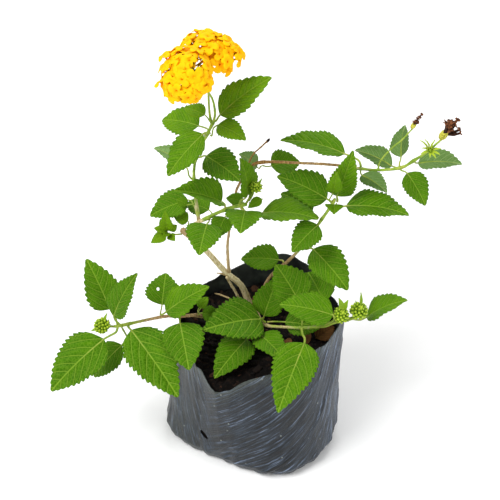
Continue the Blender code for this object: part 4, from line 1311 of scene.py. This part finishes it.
def flower_head(name, end, axis, radius, flat, strays, chance):
    """A dome of florets on a green receptacle, with a few that stand out where the strays' pixels are."""
    before, last = seen(*end[0]), seen(*end[1])
    centre = last + (last - before).normalized() * HEAD_SEAT
    turn = Vector(axis).to_track_quat("Z", "Y")
    florets = []
    for row, (tilt, count) in enumerate(FLORET_ROWS):
        for k in range(count):
            lean = math.radians(tilt + chance.gauss(0, 3))
            way = leaning(lean, math.tau * (k + 0.5 * (row % 2)) / count + chance.gauss(0, 0.07))
            reach = (radius + chance.gauss(-0.3, 0.9)) * MM
            place = centre + turn @ (way * Vector((1, 1, flat))) * reach
            tipped = Vector((chance.gauss(0, 0.2), chance.gauss(0, 0.2), 0.1))
            look = turn @ (way * Vector((0.8, 0.8, 1)) + tipped)
            if (place - EYE).cross(INTO_GAP).length > GAP_REACH:
                florets.append((place, look, row > 0 or k > 0))
    for stray in strays:
        look = (seen(*stray) - centre).normalized() + Vector((0, -0.2, 0.6))
        florets.append((seen(*stray), look, True))
    parts = []
    for place, look, opened in florets:
        plan, size = (chance.choice(FLORETS), chance.uniform(0.88, 1.05)) if opened else (SLIM_DROP, 0.9 * MM)
        parts.append(stamped(plan, pointing(place, look, chance.uniform(0, math.tau), size), PETAL))
        foot = centre + (place - centre).normalized() * 1.5 * MM
        neck = place - look.normalized() * (2.5 * MM)
        sagging = (foot + neck) / 2 - Vector((0, 0, 0.4 * MM))
        parts.append(stalk([foot, sagging, neck], (0.32, 0.36, 0.5), PETAL))
        mark(parts[-1].data, "reach", -0.1)
    for _ in range(INNER_BUDS):
        way = turn @ leaning(math.radians(20 + 60 * chance.random()), chance.uniform(0, math.tau))
        parts.append(stamped(SLIM_DROP, pointing(centre + way * 3.4 * MM, way, size=1.1 * MM), BUD))
    parts.append(stamped(DROP, pointing(centre, axis, size=2.8 * MM), BUD))
    ready(joined(parts, name + "_florets"), "petal", name)
    return centre


for name, head in HEADS.items():
    print(name, "at", flower_head(name, chance=chance, **head))

# %% [markdown]
# ## Green heads and spent heads
#
# Before it opens, a head is a knobbly ball of closed buds packed in spirals, with narrow bracts round it.
# Each bud is a copy of one drop, set along a spiral by the golden angle, which is how a plant packs
# them. The left head is further on, so its buds are slimmer and stand up. A spent head is a small scarred
# cone, on which a few dark, shrivelled florets hold on.

# %% Balls of buds
GOLDEN_ANGLE = math.radians(137.508)
BALL_REACH = 125  # degrees from a ball's axis out to which it bears buds
# The middle's pixel, axis, radius in mm, count and radius of the buds, bracts in a ring, and the stem
BALLS = {
    "bud_left": ((102.5, 326), (-0.5, -0.3, 1), 4.3, 40, 0.9, 8, "branch_left"),
    "bud_front": ((341, 315), (0.3, -0.3, 1), 4.5, 46, 1.0, 5, "branch_front"),
    "bud_right": ((359, 310.5), (0.3, -0.3, 1), 4.9, 50, 1.0, 5, "branch_front"),
    "bud_shoot": ((256, 187), (0.2, -0.3, 1), 3.2, 30, 0.8, 5, "stem_main"),
    "bud_tip": ((430, 150), (0, -0.77, 0.64), 1.6, 14, 0.5, 0, "branch_right"),
}
BALL_DEPTHS = {"bud_shoot": 10, "bud_tip": 8.6}  # where a solid's own middle isn't its ball's
# Bracts that show, as rows for small_leaves
BRACTS = {
    "bud_left": [((101, 328, -15), (91, 331, -15), 2, 0.6), ((104, 322, -14), (107, 313, -13), 1.8, 0.6)],
    "bud_front": [((342, 309, -18), (339, 298, -18), 3.4, 0.6), ((344, 309, -18), (348, 300, -18), 3, 0.6)],
    "bud_right": [((361, 304, -14), (361, 292.5, -14), 1.8, 0.55)],
    "bud_shoot": [((254, 190, 11), (249, 201.5, 12), 2.4, 0.5), ((258, 186, 10), (262, 178.5, 10), 1.6, 0.6)],
    "bud_tip": [
        ((428, 150, 8.5), (420.4, 140.2, 5), 1.3, 0.9), ((429, 149, 8.5), (425, 139.3, 5), 1.2, 0.9),
        ((431, 149, 8.5), (435, 139.7, 5), 1.2, 0.9), ((432, 150, 8.5), (441, 148.7, 5), 1.4, 0.9),
        ((432, 151, 8.5), (440, 154.6, 5), 1.4, 0.9), ((431, 152, 8.5), (436, 158, 5), 1.3, 0.9),
        ((430, 152, 8.5), (430, 157.5, 5), 1.3, 0.9), ((428, 151, 8.5), (420.7, 154, 5), 1.4, 0.9),
        ((428, 150, 8.5), (422, 148, 5), 1.3, 0.9),
    ],
}
BRACT_REACH = {"bud_tip": 0.75}  # paler than the others
USUAL_REACH = 0.4


def ball_middle(name, pixel):
    """The middle of a packed ball: where it shows, at the depth of its solid or the one told for it."""
    low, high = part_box(name)
    return seen(*pixel, BALL_DEPTHS.get(name, (low[1] + high[1]) / 2 / MM))


def spiral(count, widest):
    """Ways spread evenly over a dome in a golden-angle spiral, out to a tilt in degrees."""
    depth = 1 - math.cos(math.radians(widest))
    for k in range(count):
        rise = 1 - depth * (k + 0.5) / count
        side = math.sqrt(max(0, 1 - rise * rise))
        yield Vector((side * math.cos(k * GOLDEN_ANGLE), side * math.sin(k * GOLDEN_ANGLE), rise))


def ball_of_buds(name, pixel, axis, radius, count, bud, ring, carrier, chance):
    """The parts of a packed head: closed buds in spirals on a core, and a ring of bracts under them."""
    core = ball_middle(name, pixel)
    plan, lean = (SLIM_DROP, 1.2) if name == "bud_left" else (DROP, 0.3)
    turn = Vector(axis).to_track_quat("Z", "Y")
    parts = [stamped(DROP, pointing(core, axis, size=0.62 * radius * MM), BUD)]
    for way in spiral(count, BALL_REACH):
        out = turn @ way
        size = bud * chance.uniform(0.85, 1.1) * (1.15 - 0.35 * way.z)
        place = core + out * (radius - 1.1 * bud) * MM
        parts.append(stamped(plan, pointing(place, out + Vector(axis) * lean, size=size * MM), BUD))
    _, foot, _, _ = bpy.data.objects[carrier + "_grown"].closest_point_on_mesh(core)
    parts.append(stalk([foot, core], (0.7, 0.8), STALK))
    for k in range(ring):
        spin = math.tau * k / ring + chance.gauss(0, 0.15)
        out = turn @ Vector((math.cos(spin), math.sin(spin), -0.25 + chance.gauss(0, 0.15)))
        up = turn @ Vector((0, 0, 1))
        base = core + out * (0.6 * radius * MM) - up * (0.5 * radius * MM)
        tip = core + out * (1.25 * radius * MM) + up * (0.25 * radius * MM)
        bract = small_plan(base, tip, 0.34 * radius, look=up)
        parts += resurfaced(grown_leaf(bract, SMALL_BLADE, 0.6, chance), BUD, USUAL_REACH)
    return parts


chance = random.Random(53)
for name, ball in BALLS.items():
    parts = ball_of_buds(name, *ball, chance)
    parts += resurfaced(small_leaves(BRACTS[name], chance), BUD, BRACT_REACH.get(name, USUAL_REACH))
    ready(joined(parts, name + "_head"), "bud", name)
print("green heads:", len(BALLS))

# %% Spent heads
# The middle's pixel, axis, radius in mm, size of the florets, and where their ends show
SPENT_HEADS = {
    "dead_head_inner": ((413.5, 125.5), (0.55, 0, 1), 1.5, 0.4, [
        (422, 114, 12), (420, 117, 11), (418, 118.5, 12.5), (416, 121, 11), (418, 121.5, 12),
        (414.5, 121.5, 12),
    ]),
    "dead_head_outer": ((443.7, 134.7), (0.6, 0, 1), 2.4, 0.62, [
        (446.5, 122, 10), (450, 120.5, 12), (454, 121.5, 8), (458, 119.5, 9), (447.5, 126, 7), (451, 125, 8),
        (455, 125, 12), (450, 129, 8), (460, 129.5, 10), (461, 133, 9), (453, 129, 11),
    ]),
}


def shrivelled(plan, matrix, chance):
    """A dried floret: an open one that has crumpled and darkened."""
    made = stamped(plan, Matrix(), SPENT)
    places = points_of(made.data)
    seed = Vector((chance.random(), chance.random(), chance.random())) * 50
    shift = np.array([noise.noise_vector(Vector(place) * 420 + seed) for place in places]) * 1.6 * MM
    move_points(made.data, places * (0.62, 0.62, 0.8) + shift)
    made.data.transform(matrix)
    return made


def spent_head(name, pixel, axis, radius, size, tips, chance):
    """A scarred receptacle on which a few shrivelled florets hold on."""
    core = ball_middle(name, pixel)
    parts = [stamped(DROP, pointing(core, axis, size=radius * MM), SCARRED)]
    for tip in tips:
        end = seen(*tip)
        way = (end - core).normalized()
        shape = pointing(end, way, chance.uniform(0, 6), size * chance.uniform(0.8, 1.2))
        parts.append(shrivelled(chance.choice(FLORETS), shape, chance))
        foot = core + way * (0.7 * radius * MM)
        knee = (foot + end) / 2 + Vector((chance.gauss(0, 0.4), chance.gauss(0, 0.4), -0.3)) * MM
        parts.append(stalk([foot, knee, end], (size, 1.3 * size, size), SPENT))
        mark(parts[-1].data, "reach", 0.2)
    ready(joined(parts, name + "_florets"), "dead_flower", name)


for name, head in SPENT_HEADS.items():
    spent_head(name, *head, chance)
print("spent heads:", len(SPENT_HEADS))

# A long-dead twig ends in a small dark club
CLUB = [(266.6, 142.4, 26), (268.2, 140.4, 26), (269.6, 138.8, 26)]
club = stalk([seen(*one) for one in CLUB], (0.45, 0.85, 0.45), SPENT, 8)
ready(joined([club], "dead_twig_tip"), "dead_flower")
